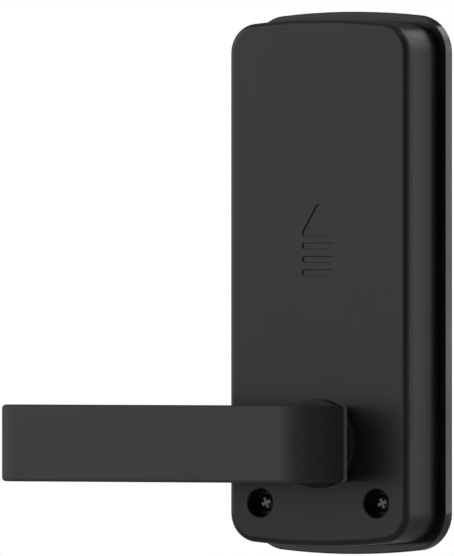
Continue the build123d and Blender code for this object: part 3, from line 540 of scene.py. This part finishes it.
# Radio module: a small black board of its own with gilt pads along two edges, under a shield can stamped
# from tinned sheet. The aerial's lines are on its bare end.
radio_place = Vector((-16.5, -4.0)) * mm
radio_size = Vector((13.0, 10.0, 2.4)) * mm
radio_board = 0.8 * mm
radio_edge = 0.1 * mm
shield_inset = 0.7 * mm
shield_reach = 9.0 * mm
shield_edge = 0.25 * mm
pad_count = 7
pad_pitch = 1.2 * mm
pad_width = 0.7 * mm
pad_reach = 0.8 * mm
pad_proud = 0.02 * mm
pad_overhang = 0.01 * mm
aerial_lines = 4
aerial_pitch = 0.75 * mm
aerial_inset = 0.5 * mm
aerial_line = Vector((0.35, 7.5, 0.05)) * mm
black_mask = coated("black_solder_mask", shade=(0.01, 0.011, 0.012), gloss=(0.25, 0.35))
gold = metallic("gold_flash", shade=(0.83, 0.62, 0.24), gloss=(0.18, 0.3))


def radio_mesh():
    """Module standing on z 0, with its aerial end bare."""
    mesh = bmesh.new()
    board_half = radio_board / 2
    block(mesh, (radio_size.x, radio_size.y, radio_board), (0, 0, board_half), radio_edge)
    shield = Vector((shield_reach, radio_size.y - 2 * shield_inset, radio_size.z - radio_board))
    shield_x = radio_size.x / 2 - shield_inset - shield_reach / 2
    block(mesh, shield, (shield_x, 0, radio_board + shield.z / 2), shield_edge, 1)
    pad = (pad_width, pad_reach, radio_board + 2 * pad_proud)
    pad_y = radio_size.y / 2 - pad_reach / 2 + pad_overhang
    for number in range(pad_count):
        along = radio_size.x / 2 - pad_width - number * pad_pitch
        for side in (-1, 1):
            block(mesh, pad, (along, side * pad_y, board_half), material=2)
    for number in range(aerial_lines):
        along = aerial_inset - radio_size.x / 2 + number * aerial_pitch
        block(mesh, aerial_line, (along, 0, radio_board), material=2)
    return mesh


add_board_part("radio_module", radio_mesh(), radio_place, [black_mask, tin, gold])

# Capacitors: two aluminium cans in black sleeves, drawn in near the foot, with a cross scored into the
# bare top as a vent and a pale stripe down the negative side.
capacitor_places = [Vector((9.95, -9.0)) * mm, Vector((2.95, -9.0)) * mm]
capacitor_radius = 3.15 * mm
capacitor_height = 6.6 * mm
capacitor_lip = 0.5 * mm
can_foot_radius = 0.9 * capacitor_radius
can_foot_height = 0.03 * capacitor_height
groove_radius = 0.93 * capacitor_radius
groove_heights = [share * capacitor_height for share in (0.14, 0.19, 0.24)]
lip_crown = Vector((0.15, 0.05)) * mm
can_lid_sink = 0.1 * mm
can_lid_slope = 0.05 * mm
score_span = 3.6 * mm
score_width = 0.25 * mm
score_depth = 0.12 * mm
stripe_half_angle = math.radians(28)
sleeve = coated("black_sleeve", shade=(0.014, 0.014, 0.018), gloss=(0.22, 0.3))
stripe = coated("pale_stripe", shade=(0.55, 0.55, 0.54), gloss=(0.3, 0.4))
aluminium = metallic("drawn_aluminium", shade=(0.78, 0.78, 0.78), gloss=(0.22, 0.34))


def sunk_cross(mesh, span, width, depth, top, floor_share=1.0):
    """Sinks a cross into the turned top of a mesh, and returns the faces of its floor."""
    for reach in (width / 2, span / 2):
        for axis in (Vector((1, 0, 0)), Vector((0, 1, 0))):
            for side in (-1, 1):
                lid = [face for face in mesh.faces if face.calc_center_median().z > top]
                parts = dict.fromkeys(part for face in lid for part in [*face.verts, *face.edges])
                bmesh.ops.bisect_plane(
                    mesh,
                    geom=lid + list(parts),
                    dist=weld,
                    plane_co=axis * side * reach,
                    plane_no=axis,
                )
    arms = []
    for face in mesh.faces:
        middle = face.calc_center_median()
        near, far = sorted((abs(middle.x), abs(middle.y)))
        if middle.z > top and near < width / 2 and far < span / 2:
            arms.append(face)
    made = bmesh.ops.extrude_face_region(mesh, geom=arms)["geom"]
    floor = max(vert.co.z for vert in mesh.verts) - depth
    bmesh.ops.scale(
        mesh,
        vec=(floor_share, floor_share, 0),
        space=Matrix.Translation((0, 0, -floor)),
        verts=only(BMVert, made),
    )
    bmesh.ops.delete(mesh, geom=[face for face in arms if face.is_valid], context="FACES")
    return only(BMFace, made)


def capacitor_mesh():
    """Can standing on z 0, with its rolled lip and its scored top."""
    mesh = bmesh.new()
    lip = capacitor_radius - capacitor_lip
    lid = capacitor_height - can_lid_sink
    sleeve_top = capacitor_height - capacitor_lip
    faces = lathe(
        mesh,
        [
            (0, 0),
            (can_foot_radius, 0),
            (capacitor_radius, can_foot_height),
            (capacitor_radius, groove_heights[0]),
            (groove_radius, groove_heights[1]),
            (capacitor_radius, groove_heights[2]),
            (capacitor_radius, sleeve_top),
            (capacitor_radius - lip_crown.x, capacitor_height - lip_crown.y),
            (lip, capacitor_height),
            (lip - can_lid_slope, lid),
            (0, lid),
        ],
    )
    for face in faces:
        middle = face.calc_center_median()
        around = math.atan2(middle.y, middle.x)
        if middle.xy.length < lip and middle.z > capacitor_height / 2:
            face.material_index = 2
        elif abs(around) < stripe_half_angle and middle.z < sleeve_top:
            face.material_index = 1
    bmesh.ops.remove_doubles(mesh, verts=mesh.verts, dist=weld)
    sunk_cross(mesh, score_span, score_width, score_depth, lid - can_lid_sink / 2)
    return mesh


for number, place in enumerate(capacitor_places):
    add_board_part(f"capacitor_{number + 1}", capacitor_mesh(), place, [sleeve, stripe, aluminium])

# Coil: enamelled copper wire wound on a drum of grey ferrite, inside a square ferrite shield with
# clipped corners.
coil_place = Vector((17.5, -5.5)) * mm
coil_size = 6.0 * mm
coil_height = 3.0 * mm
coil_corner = 1.1 * mm
coil_well = 2.55 * mm
coil_well_depth = 2.1 * mm
coil_drum = 1.5 * mm
drum_foot = 0.75 * mm
drum_top = 2.91 * mm
flange_radius = coil_drum + 0.6 * mm
flange_heights = (2.4 * mm, 2.52 * mm)
coil_steps = 32
wire_radius = 0.17 * mm
wire_pitch = 2.2 * wire_radius
wire_start = 1.08 * mm
wire_rows = 3
wire_layers = 2
wire_sides = 8
ferrite = coated(
    "grey_ferrite", shade=(0.045, 0.045, 0.048), gloss=(0.45, 0.6), peel_scale=2500.0, peel_height=0.5
)
copper = metallic("enamelled_copper", shade=(0.7, 0.26, 0.1), gloss=(0.2, 0.3))


def wire_ring(mesh, middle, height):
    """One ring of wire about Z, through a middle radius and height."""
    angles = [2 * math.pi * step / wire_sides for step in range(wire_sides + 1)]
    section = [
        (middle + wire_radius * math.cos(angle), height + wire_radius * math.sin(angle)) for angle in angles
    ]
    paint(lathe(mesh, section, coil_steps), 1)


def coil_mesh():
    """Shielded coil standing on z 0: shield, drum and the rings of wire between them."""
    mesh = bmesh.new()
    block(mesh, (coil_size, coil_size, coil_height), (0, 0, coil_height / 2))
    uprights = [edge for edge in mesh.edges if edge.verts[0].co.xy == edge.verts[1].co.xy]
    bmesh.ops.bevel(
        mesh, geom=uprights, offset=coil_corner, affect="EDGES", segments=1, profile=0.5, material=-1
    )
    lid = [face for face in mesh.faces if face.calc_center_median().z > coil_height - weld]
    bmesh.ops.inset_region(mesh, faces=lid, thickness=coil_size / 2 - coil_well)
    well = bmesh.ops.extrude_face_region(mesh, geom=lid)["geom"]
    bmesh.ops.translate(mesh, vec=(0, 0, -coil_well_depth), verts=only(BMVert, well))
    bmesh.ops.delete(mesh, geom=[face for face in lid if face.is_valid], context="FACES")
    drum = [
        (0, drum_foot),
        (coil_drum, drum_foot),
        (coil_drum, flange_heights[0]),
        (flange_radius, flange_heights[1]),
        (flange_radius, drum_top),
        (0, drum_top),
    ]
    lathe(mesh, drum, coil_steps)
    for row in range(wire_rows):
        for layer in range(wire_layers):
            middle = coil_drum + wire_radius + layer * wire_pitch
            wire_ring(mesh, middle, wire_start + row * wire_pitch)
    return mesh


add_board_part("coil", coil_mesh(), coil_place, [ferrite, copper])

# Sounder: a round moulded case with a sound hole in its lid and a thin gilt plate inside. It is soldered
# to the front of the board.
sounder_place = Vector((8.1, 6.5)) * mm
sounder_radius = 4.5 * mm
sounder_height = 4.2 * mm
sounder_step = 0.2 * mm
step_heights = (0.84 * mm, 1.008 * mm)
lid_round = Vector((0.25, 0.35)) * mm
sound_hole = 0.9 * mm
sound_plate = 2.1 * mm
funnel = Vector((0.35, 0.3)) * mm
sounder_case = coated("sounder_case", shade=(0.016, 0.016, 0.017), gloss=(0.35, 0.45))


def sounder_mesh():
    """Case standing on z 0, with a step round its foot and a funnel into its sound hole."""
    mesh = bmesh.new()
    wall = sounder_radius - sounder_step
    faces = lathe(
        mesh,
        [
            (0, 0),
            (sounder_radius, 0),
            (sounder_radius, step_heights[0]),
            (wall, step_heights[1]),
            (wall, sounder_height - lid_round.y),
            (wall - lid_round.x, sounder_height),
            (sound_hole + funnel.x, sounder_height),
            (sound_hole, sounder_height - funnel.y),
            (sound_hole, sound_plate),
            (0, sound_plate),
        ],
    )
    for face in faces:
        if abs(face.calc_center_median().z - sound_plate) < weld:
            face.material_index = 1
    return mesh


add_board_part("sounder", sounder_mesh(), sounder_place, [sounder_case, gold])

# Reset switch: a moulded tact switch with a stamped steel cover, held on it by four melted pegs. The
# button's tail rests in its well.
switch_place = Vector((17.0, 5.0)) * mm
switch_size = 6.0 * mm
switch_height = 3.5 * mm
switch_edge = 0.25 * mm
switch_cover = 0.3 * mm
cover_size = 5.7 * mm
cover_edge = 0.1 * mm
switch_well = 1.9 * mm
switch_well_depth = 0.8 * mm
well_wall = 0.45 * mm
well_edge = 0.1 * mm
peg_radius = 0.5 * mm
peg_spread = 2.25 * mm
peg_flatness = 0.6
peg_sides = 16
leg_size = Vector((0.7, 0.2, 1.6)) * mm
leg_edge = 0.05 * mm
leg_sink = 0.06 * mm
switch_case = coated("switch_case", shade=(0.02, 0.02, 0.021), gloss=(0.4, 0.5))


def switch_mesh():
    """Switch standing on z 0: case, steel cover with a round well, pegs and legs."""
    mesh = bmesh.new()
    floor = switch_height - switch_well_depth
    case_height = floor - switch_cover / 2
    block(mesh, (switch_size, switch_size, case_height), (0, 0, case_height / 2), switch_edge)
    well_outside = switch_well + well_wall
    lathe(
        mesh,
        [
            (switch_well, case_height),
            (switch_well, switch_height - well_edge),
            (switch_well + well_edge, switch_height),
            (well_outside - well_edge, switch_height),
            (well_outside, switch_height - well_edge),
            (well_outside, case_height),
            (switch_well, case_height),
        ],
    )
    block(mesh, (cover_size, cover_size, switch_cover), (0, 0, case_height), cover_edge, 1)
    for x in (-peg_spread, peg_spread):
        for side in (-1, 1):
            peg = bmesh.ops.create_uvsphere(
                mesh, u_segments=peg_sides, v_segments=peg_sides // 2, radius=peg_radius
            )["verts"]
            bmesh.ops.scale(mesh, vec=(1, 1, peg_flatness), verts=peg)
            bmesh.ops.translate(mesh, vec=(x, side * peg_spread, floor), verts=peg)
            leg_middle = (x, side * (switch_size / 2 - leg_sink), leg_size.z / 2)
            block(mesh, leg_size, leg_middle, leg_edge, 1)
    return mesh


add_board_part("reset_tact_switch", switch_mesh(), switch_place, [switch_case, tin], "reset_switch")

# Cable socket: a box header of cream nylon on the back of the board, with five gilt pins that the plug
# of the cable from the outdoor half goes onto.
cream_nylon = coated("cream_nylon", shade=(0.74, 0.7, 0.58), gloss=(0.38, 0.48), peel_scale=1200.0)
dress(cream_nylon, "cable_socket")
dress(gold, "socket_pins")

# Board screws: four self-tapping screws with cross recesses, zinc plated, driven from behind through
# the board into the deck's bosses.
tapping_screw = {
    "radius": 1.0 * mm,
    "length": 5.0 * mm,
    "head_radius": 2.0 * mm,
    "head_height": 1.4 * mm,
    "shoulder": 0.56 * mm,
    "recess": (2.4 * mm, 0.6 * mm, 0.8 * mm),
    "pitch": 0.7 * mm,
}
core_share = 0.78
tip_share = 0.4
root_share = 0.95
ridge_share = 0.8
recess_floor_share = 0.9
head_steps = 40
dome_steps = 6
thread_steps = 16
door_turn = Matrix.Rotation(math.radians(-90), 4, "X")


def add_thread(mesh, root, crest, pitch, low, high):
    """Winds a ridge of three sides about Z, from a low height up to under a high one."""
    width = ridge_share * pitch
    ridge = [
        mesh.verts.new((root, 0, low)),
        mesh.verts.new((crest, 0, low + width / 2)),
        mesh.verts.new((root, 0, low + width)),
    ]
    sides = [mesh.edges.new((ridge[number - 1], ridge[number])) for number in range(3)]
    turns = int((high - low) / pitch) - 1
    climb = (0, 0, pitch / thread_steps)
    spin(mesh, ridge + sides, 2 * math.pi * turns, thread_steps * turns, dvec=climb)
    bmesh.ops.holes_fill(mesh, edges=[edge for edge in mesh.edges if edge.is_boundary], sides=3)


def screw_mesh(radius, length, head_radius, head_height, shoulder, recess, pitch):
    """Screw along Z, seated at z 0: domed head with a cross recess, core and a rolled thread."""
    mesh = bmesh.new()
    core = core_share * radius
    tip = tip_share * radius
    rise = head_height - shoulder
    dome_radius = (head_radius**2 + rise**2) / (2 * rise)
    dome_angle = math.asin(head_radius / dome_radius)
    outline = [(0, -length), (core - tip, -length), (core, -length + tip), (core, 0), (head_radius, 0)]
    for step in range(dome_steps + 1):
        angle = dome_angle * (1 - step / dome_steps)
        outline.append((dome_radius * math.sin(angle), head_height - dome_radius * (1 - math.cos(angle))))
    lathe(mesh, outline, head_steps)
    bmesh.ops.remove_doubles(mesh, verts=mesh.verts, dist=weld)
    paint(sunk_cross(mesh, *recess, shoulder, recess_floor_share), 1)
    add_thread(mesh, root_share * core, radius, pitch, tip - length, 0)
    return mesh


def copies(pattern, turn, places):
    """One bmesh with a turned copy of a pattern at each place."""
    data = bpy.data.meshes.new("pattern")
    pattern.to_mesh(data)
    pattern.free()
    group = bmesh.new()
    for place in places:
        count = len(group.verts)
        group.from_mesh(data)
        group.verts.ensure_lookup_table()
        bmesh.ops.transform(group, matrix=Matrix.Translation(place) @ turn, verts=group.verts[count:])
    bpy.data.meshes.remove(data)
    return group


def screw_places(node, sizes, faces_door):
    """Seats of the screws in a CAD node, one in each corner of its box or one for each side of it."""
    low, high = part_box(node)
    inset = sizes["head_radius"]
    seat = high.y - sizes["head_height"] if faces_door else low.y + sizes["head_height"]
    columns = sorted({round(low.x + inset, 4), round(high.x - inset, 4)})
    rows = sorted({round(low.z + inset, 4), round(high.z - inset, 4)})
    return [Vector((x, seat, z)) for x in columns for z in rows]


bright_zinc = metallic("bright_zinc", shade=(0.66, 0.66, 0.66), gloss=(0.16, 0.28))
for node in ("board_screws", "tray_screws"):
    places = screw_places(node, tapping_screw, faces_door=True)
    screws = copies(screw_mesh(**tapping_screw), door_turn, places)
    add_piece(f"cross_recess_{node}", screws, [bright_zinc, bright_zinc], node)

# Battery tray: moulded in black plastic with a fine spark-eroded grain. Its two ears are screwed to the
# deck's bosses from behind, with the same small screws as the board.
tray_plastic = coated(
    "tray_plastic", shade=(0.022, 0.022, 0.023), gloss=(0.42, 0.55), peel_scale=2600.0, peel_height=0.6
)
dress(tray_plastic, "battery_tray")

# Battery contacts: stampings of nickel-plated sheet slipped into the tray's ends, two of them with tabs
# to the board, and coil springs of plated wire at the cells' negative ends.
nickel = metallic(
    "nickel_plate", shade=(0.66, 0.63, 0.57), gloss=(0.18, 0.3), grain=(500.0, 6000.0, 6000.0)
)
dress(nickel, "negative_terminal", "positive_terminal", "lower_bridge_contact", "upper_bridge_contacts")
nickel_wire = metallic("nickel_wire", shade=(0.62, 0.59, 0.53), gloss=(0.2, 0.3))
dress(nickel_wire, "contact_springs")

# Cells: four AA cells, every second one on its head. Each is a drawn steel can with a crimped foot and a
# raised nub, in a printed shrink jacket that curls over both ends.
cell_names = [f"battery_cell_{number}" for number in range(1, 5)]
first_low, first_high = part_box(cell_names[0])
cell_radius = (first_high.x - first_low.x) / 2
cell_length = first_high.z - first_low.z
cell_round = 0.8 * mm
cell_steps = 72
nub_radius = 2.6 * mm
nub_height = 1.2 * mm
nub_edge = 0.25 * mm
nub_foot = Vector((0.3, 0.2)) * mm
jacket_lip = 5.5 * mm
lip_play = 0.02 * mm
foot_groove = (4.2 * mm, 4.8 * mm)
steel_inset = 0.12 * mm
print_mark = (2.2 * mm, 0.55 * mm)
mark_from_end = 5.5 * mm
band_width = 11.0 * mm
line_gap = 1.5 * mm
line_half_width = 0.4 * mm
jacket_blue = (0.02, 0.065, 0.17)
jacket_pale = (0.55, 0.56, 0.57)


def round_corner(middle_radius, middle_height, start, steps=5):
    """Quarter circle of a cell's rounded end, as points of its outline."""
    angles = [math.radians(start + 90 * step / steps) for step in range(steps + 1)]
    return [
        (middle_radius + cell_round * math.cos(angle), middle_height + cell_round * math.sin(angle))
        for angle in angles
    ]


def cell_mesh():
    """Cell standing on its negative end at z 0, with a map of its jacket."""
    mesh = bmesh.new()
    shoulder = cell_length - nub_height
    faces = lathe(
        mesh,
        [
            (0, steel_inset),
            (foot_groove[0], steel_inset),
            (foot_groove[0] + steel_inset, 2 * steel_inset),
            (foot_groove[1] - steel_inset, 2 * steel_inset),
            (foot_groove[1], steel_inset),
            (jacket_lip, steel_inset),
            (jacket_lip, 0),
            *round_corner(cell_radius - cell_round, cell_round, -90),
            *round_corner(cell_radius - cell_round, shoulder - cell_round, 0),
            (jacket_lip, shoulder),
            (jacket_lip, shoulder - steel_inset),
            (nub_radius + nub_foot.x, shoulder - steel_inset),
            (nub_radius, shoulder + nub_foot.y),
            (nub_radius, cell_length - nub_edge),
            (nub_radius - nub_edge, cell_length),
            (0, cell_length),
        ],
        cell_steps,
    )
    wrap = mesh.loops.layers.uv.new("wrap")
    for face in faces:
        middle = face.calc_center_median()
        face.material_index = 0 if middle.xy.length > jacket_lip - lip_play else 1
        around = math.atan2(middle.y, middle.x)
        for loop in face.loops:
            turn = math.atan2(loop.vert.co.y, loop.vert.co.x) - around
            turn = (turn + math.pi) % (2 * math.pi) - math.pi
            loop[wrap].uv = ((around + turn) / (2 * math.pi) + 0.5, loop.vert.co.z / cell_length)
    return mesh


def jacket():
    """Print of a plain jacket: blue, with a pale band and a plus at one end and a minus at the other."""
    material, tree, shader = new_material("cell_jacket")
    wrap = add_node(tree, "UVMap")
    wrap.uv_map = "wrap"
    spot = add_node(tree, "SeparateXYZ", Vector=wrap.outputs["UV"])
    half_turn = math_node(tree, "FRACT", math_node(tree, "MULTIPLY", spot.outputs["X"], 2.0))
    across = math_node(tree, "MULTIPLY", half_turn, math.pi * cell_radius)
    along = math_node(tree, "MULTIPLY", spot.outputs["Y"], cell_length)
    middle = math.pi * cell_radius / 2

    def printed(height, half_width, half_height):
        """Mask of a rectangle on both sides of the cell."""
        sideways = math_node(tree, "COMPARE", across, middle, half_width)
        return math_node(tree, "MULTIPLY", sideways, math_node(tree, "COMPARE", along, height, half_height))

    jacket_top = cell_length - nub_height
    plus_height = jacket_top - mark_from_end
    arm, stroke = print_mark
    plus = math_node(
        tree, "MAXIMUM", printed(plus_height, arm, stroke), printed(plus_height, stroke, arm)
    )
    minus = printed(mark_from_end, arm, stroke)
    band = math_node(tree, "GREATER_THAN", along, jacket_top - band_width)
    line = math_node(tree, "COMPARE", along, jacket_top - band_width - line_gap, line_half_width)
    ground = painted_over(tree, jacket_blue, jacket_pale, math_node(tree, "MAXIMUM", band, line))
    signed = painted_over(tree, ground, jacket_pale, minus)
    tree.links.new(painted_over(tree, signed, jacket_blue, plus), shader.inputs["Base Color"])
    film = place_group(tree, coat, Gloss_low=0.16, Gloss_high=0.24, Peel_scale=600.0, Peel_height=0.3)
    tree.links.new(film.outputs["Roughness"], shader.inputs["Roughness"])
    tree.links.new(film.outputs["Normal"], shader.inputs["Normal"])
    return material


cell_finishes = [jacket(), metallic("cell_steel", shade=(0.66, 0.65, 0.62), gloss=(0.18, 0.3))]
for number, node in enumerate(cell_names):
    low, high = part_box(node)
    foot, turn = low.z, Matrix.Identity(4)
    if number % 2:
        foot, turn = high.z, Matrix.Rotation(math.pi, 4, "X")
    place = Vector(((low.x + high.x) / 2, (low.y + high.y) / 2, foot))
    cell = copies(cell_mesh(), turn, [place])
    add_piece(f"aa_cell_{number + 1}", cell, cell_finishes, node)

# Reset button: a plunger moulded in pale plastic, which slides in the casing's deck. Its flange traps it
# there, and its tail rests on the switch.
button_plastic = coated("button_plastic", shade=(0.7, 0.7, 0.69), gloss=(0.35, 0.45), peel_scale=1500.0)
dress(button_plastic, "reset_button")

# Housing screws: three machine screws with domed heads and cross recesses, in black zinc, with a lighter
# metal in the recesses as a painted glint. Two sit deep in the casing's holes below the lever, and one sits
# under the battery cover.
machine_screw = {
    "radius": 1.5 * mm,
    "length": 10.0 * mm,
    "head_radius": 2.8 * mm,
    "head_height": 2.2 * mm,
    "shoulder": 1.4 * mm,
    "recess": (3.7 * mm, 1.15 * mm, 0.5 * mm),
    "pitch": 0.5 * mm,
}
driven_turn = Matrix.Rotation(math.radians(22), 4, "Z")
black_zinc = metallic("black_zinc", shade=(0.05, 0.05, 0.051), gloss=(0.28, 0.38))
# The recesses get a lighter metal than the heads: a painted glint, so that each cross shows bright.
glint_recess = metallic("glint_recess", shade=(0.125, 0.125, 0.126), gloss=(0.24, 0.34))
for node in ("lower_housing_screws", "upper_housing_screw"):
    places = screw_places(node, machine_screw, faces_door=False)
    screws = copies(screw_mesh(**machine_screw), room_turn @ driven_turn, places)
    add_piece(f"cross_recess_{node}", screws, [black_zinc, glint_recess], node)

# Battery cover: moulded in plastic, sprayed with the casing's satin black, and slid down on its rails
# last of all.
dress(casing_black, "battery_cover")

# Floor: a pale round floor that keeps the shadow, low enough for the lever at its stop. It glows in part
# towards the camera and in reflections, so that it fades into the white round it.
floor_height = -0.1
floor_radius = 1.15
floor_shade = (0.85, 0.85, 0.85, 1)
floor_roughness = 0.9
glow_share = 0.65


def stage_piece(name, mesh, material):
    """Makes a bmesh an object of the scene with one material, and returns it."""
    data = bpy.data.meshes.new(name)
    mesh.to_mesh(data)
    mesh.free()
    data.materials.append(material)
    piece = bpy.data.objects.new(name, data)
    bpy.context.collection.objects.link(piece)
    return piece


def disc(place, radius, segments=64):
    """Level round sheet about a place."""
    mesh = bmesh.new()
    bmesh.ops.create_circle(mesh, cap_ends=True, segments=segments, radius=radius)
    bmesh.ops.translate(mesh, vec=place, verts=mesh.verts)
    return mesh


def background_ray(tree):
    """Value that is 1 for rays from the camera, a mirror or glass, and 0 for soft light."""
    path = add_node(tree, "LightPath")
    shown = math_node(tree, "MAXIMUM", path.outputs["Is Camera Ray"], path.outputs["Is Glossy Ray"])
    return math_node(tree, "MAXIMUM", shown, path.outputs["Is Transmission Ray"])


pale, pale_tree, pale_shader = new_material("pale_floor")
pale_shader.inputs["Base Color"].default_value = floor_shade
pale_shader.inputs["Roughness"].default_value = floor_roughness
glow = add_node(pale_tree, "Emission")
part_white = math_node(pale_tree, "MULTIPLY", background_ray(pale_tree), glow_share)
lit = add_node(pale_tree, "MixShader", Fac=part_white)
pale_tree.links.new(pale_shader.outputs["BSDF"], lit.inputs[1])
pale_tree.links.new(glow.outputs["Emission"], lit.inputs[2])
pale_tree.links.new(lit.outputs["Shader"], pale_tree.nodes["Material Output"].inputs["Surface"])
stage_piece("floor", disc((0, 0, floor_height), floor_radius, segments=128), pale)

# Cards: dark, grey and white sheets round, above and below the lock, as in a product studio. Only the
# reflections in the object show them.
card_radius = 1.2
card_low = -0.8
card_high = 1.4
card_steps = 48
top_card_place = (-0.35, 0.1, 0.85)
top_card_radius = 0.8
low_card_place = (0, 0, floor_height + 2 * mm)
low_card_radius = 1.07
low_card_start = 0.1
low_card_shades = (0.2, 0.55)


def mirror_card(name, mesh, shade):
    """Card that only reflections show, returned with its node tree and the node of its tone."""
    felt, felt_tree, felt_shader = new_material(name)
    felt_tree.nodes.remove(felt_shader)
    tone = add_node(felt_tree, "Emission", Color=(shade, shade, shade))
    felt_tree.links.new(tone.outputs["Emission"], felt_tree.nodes["Material Output"].inputs["Surface"])
    card = stage_piece(name, mesh, felt)
    card.visible_camera = False
    card.visible_diffuse = False
    card.visible_shadow = False
    card.visible_transmission = False
    return felt_tree, tone


def ring_card(name, start, sweep, shade, radius=card_radius, low=card_low, high=card_high):
    """Upright curved card round the lock, from one azimuth over a sweep, in degrees."""
    azimuth = math.radians(start)
    mesh = bmesh.new()
    foot = mesh.verts.new((math.sin(azimuth) * radius, -math.cos(azimuth) * radius, low))
    head = mesh.verts.new((foot.co.x, foot.co.y, high))
    spin(mesh, [foot, head, mesh.edges.new((foot, head))], math.radians(sweep), card_steps)
    mirror_card(name, mesh, shade)


for card, start, sweep, shade in (
    ("camera_side_card", -10, 76, 0.05),
    ("right_card", 66, 30, 0.3),
    ("right_back_card", 96, 46, 0.6),
    ("right_gap_card", 142, 6.5, 0.25),
    ("rim_card", 148.5, 3, 1.5),
    ("back_gap_card", 151.5, 6.5, 0.25),
    ("back_card", 158, 20, 1.5),
    ("left_back_card", 178, 90, 0.08),
    ("left_card", -78, 30, 1.6),
):
    ring_card(card, start, sweep, shade)
ring_card("corner_card", 151.5, 6.5, shade=1.05, radius=1.19, low=0.3, high=0.62)
mirror_card("top_card", disc(top_card_place, top_card_radius), shade=0.25)
low_sheet = disc(low_card_place, low_card_radius)
low_tree, low_tone = mirror_card("low_card", low_sheet, low_card_shades[0])
away = add_node(low_tree, "VectorMath")
away.operation = "LENGTH"
low_tree.links.new(add_node(low_tree, "TexCoord").outputs["Object"], away.inputs[0])
fade = spread(low_tree, away.outputs["Value"], *low_card_shades, low_card_start, low_card_radius)
low_tree.links.new(fade, low_tone.inputs["Color"])

# Light: a white background that gives only a little light, and one large soft lamp, to the left of the
# lock's front and a little above it. The cards take the lamp's place in reflections.
fill_strength = 0.2
lamp_azimuth = math.radians(-30)
lamp_elevation = math.radians(16)
lamp_distance = 2.2
lamp_size = 1.7
lamp_power = 40.5
lamp_aim = Vector((0, 0, 0.05))

world = bpy.data.worlds.new("studio")
bpy.context.scene.world = world
world.use_nodes = True
sky = world.node_tree
sky.nodes.clear()
both = add_node(sky, "MixShader", Fac=background_ray(sky))
for number, strength in ((1, fill_strength), (2, 1.0)):
    white = add_node(sky, "Background", Color=(1, 1, 1), Strength=strength)
    sky.links.new(white.outputs["Background"], both.inputs[number])
add_node(sky, "OutputWorld", Surface=both.outputs["Shader"])

towards_lamp = Vector(
    (
        math.sin(lamp_azimuth) * math.cos(lamp_elevation),
        -math.cos(lamp_azimuth) * math.cos(lamp_elevation),
        math.sin(lamp_elevation),
    )
)
lamp_data = bpy.data.lights.new("key", "AREA")
lamp_data.shape = "SQUARE"
lamp_data.size = lamp_size
lamp_data.energy = lamp_power
lamp = bpy.data.objects.new("key", lamp_data)
bpy.context.collection.objects.link(lamp)
lamp.location = lamp_aim + lamp_distance * towards_lamp
lamp.rotation_mode = "QUATERNION"
lamp.rotation_quaternion = (-towards_lamp).to_track_quat("-Z", "Y")
lamp.visible_glossy = False

# Camera: far off with a long lens, level with the middle of the picture, and 30 degrees to the right of
# the lock's front. The picture's height is measured at the lock.
target = Vector((-33.74 * mm, -24.7 * mm, 53.22 * mm))
camera_azimuth = math.radians(30)
camera_distance = 6.0
picture_height = 179.35 * mm
sensor_height = 24.0
camera_data = bpy.data.cameras.new("camera")
camera = bpy.data.objects.new("camera", camera_data)
bpy.context.collection.objects.link(camera)
towards_camera = Vector((math.sin(camera_azimuth), -math.cos(camera_azimuth), 0))
camera.location = target + camera_distance * towards_camera
camera.rotation_mode = "QUATERNION"
camera.rotation_quaternion = (-towards_camera).to_track_quat("-Z", "Y")
camera_data.sensor_fit = "VERTICAL"
camera_data.sensor_height = sensor_height
camera_data.lens = camera_distance / picture_height * sensor_height
camera_data.clip_end = 100.0
bpy.context.scene.camera = camera
bpy.context.scene.view_settings.view_transform = "Standard"
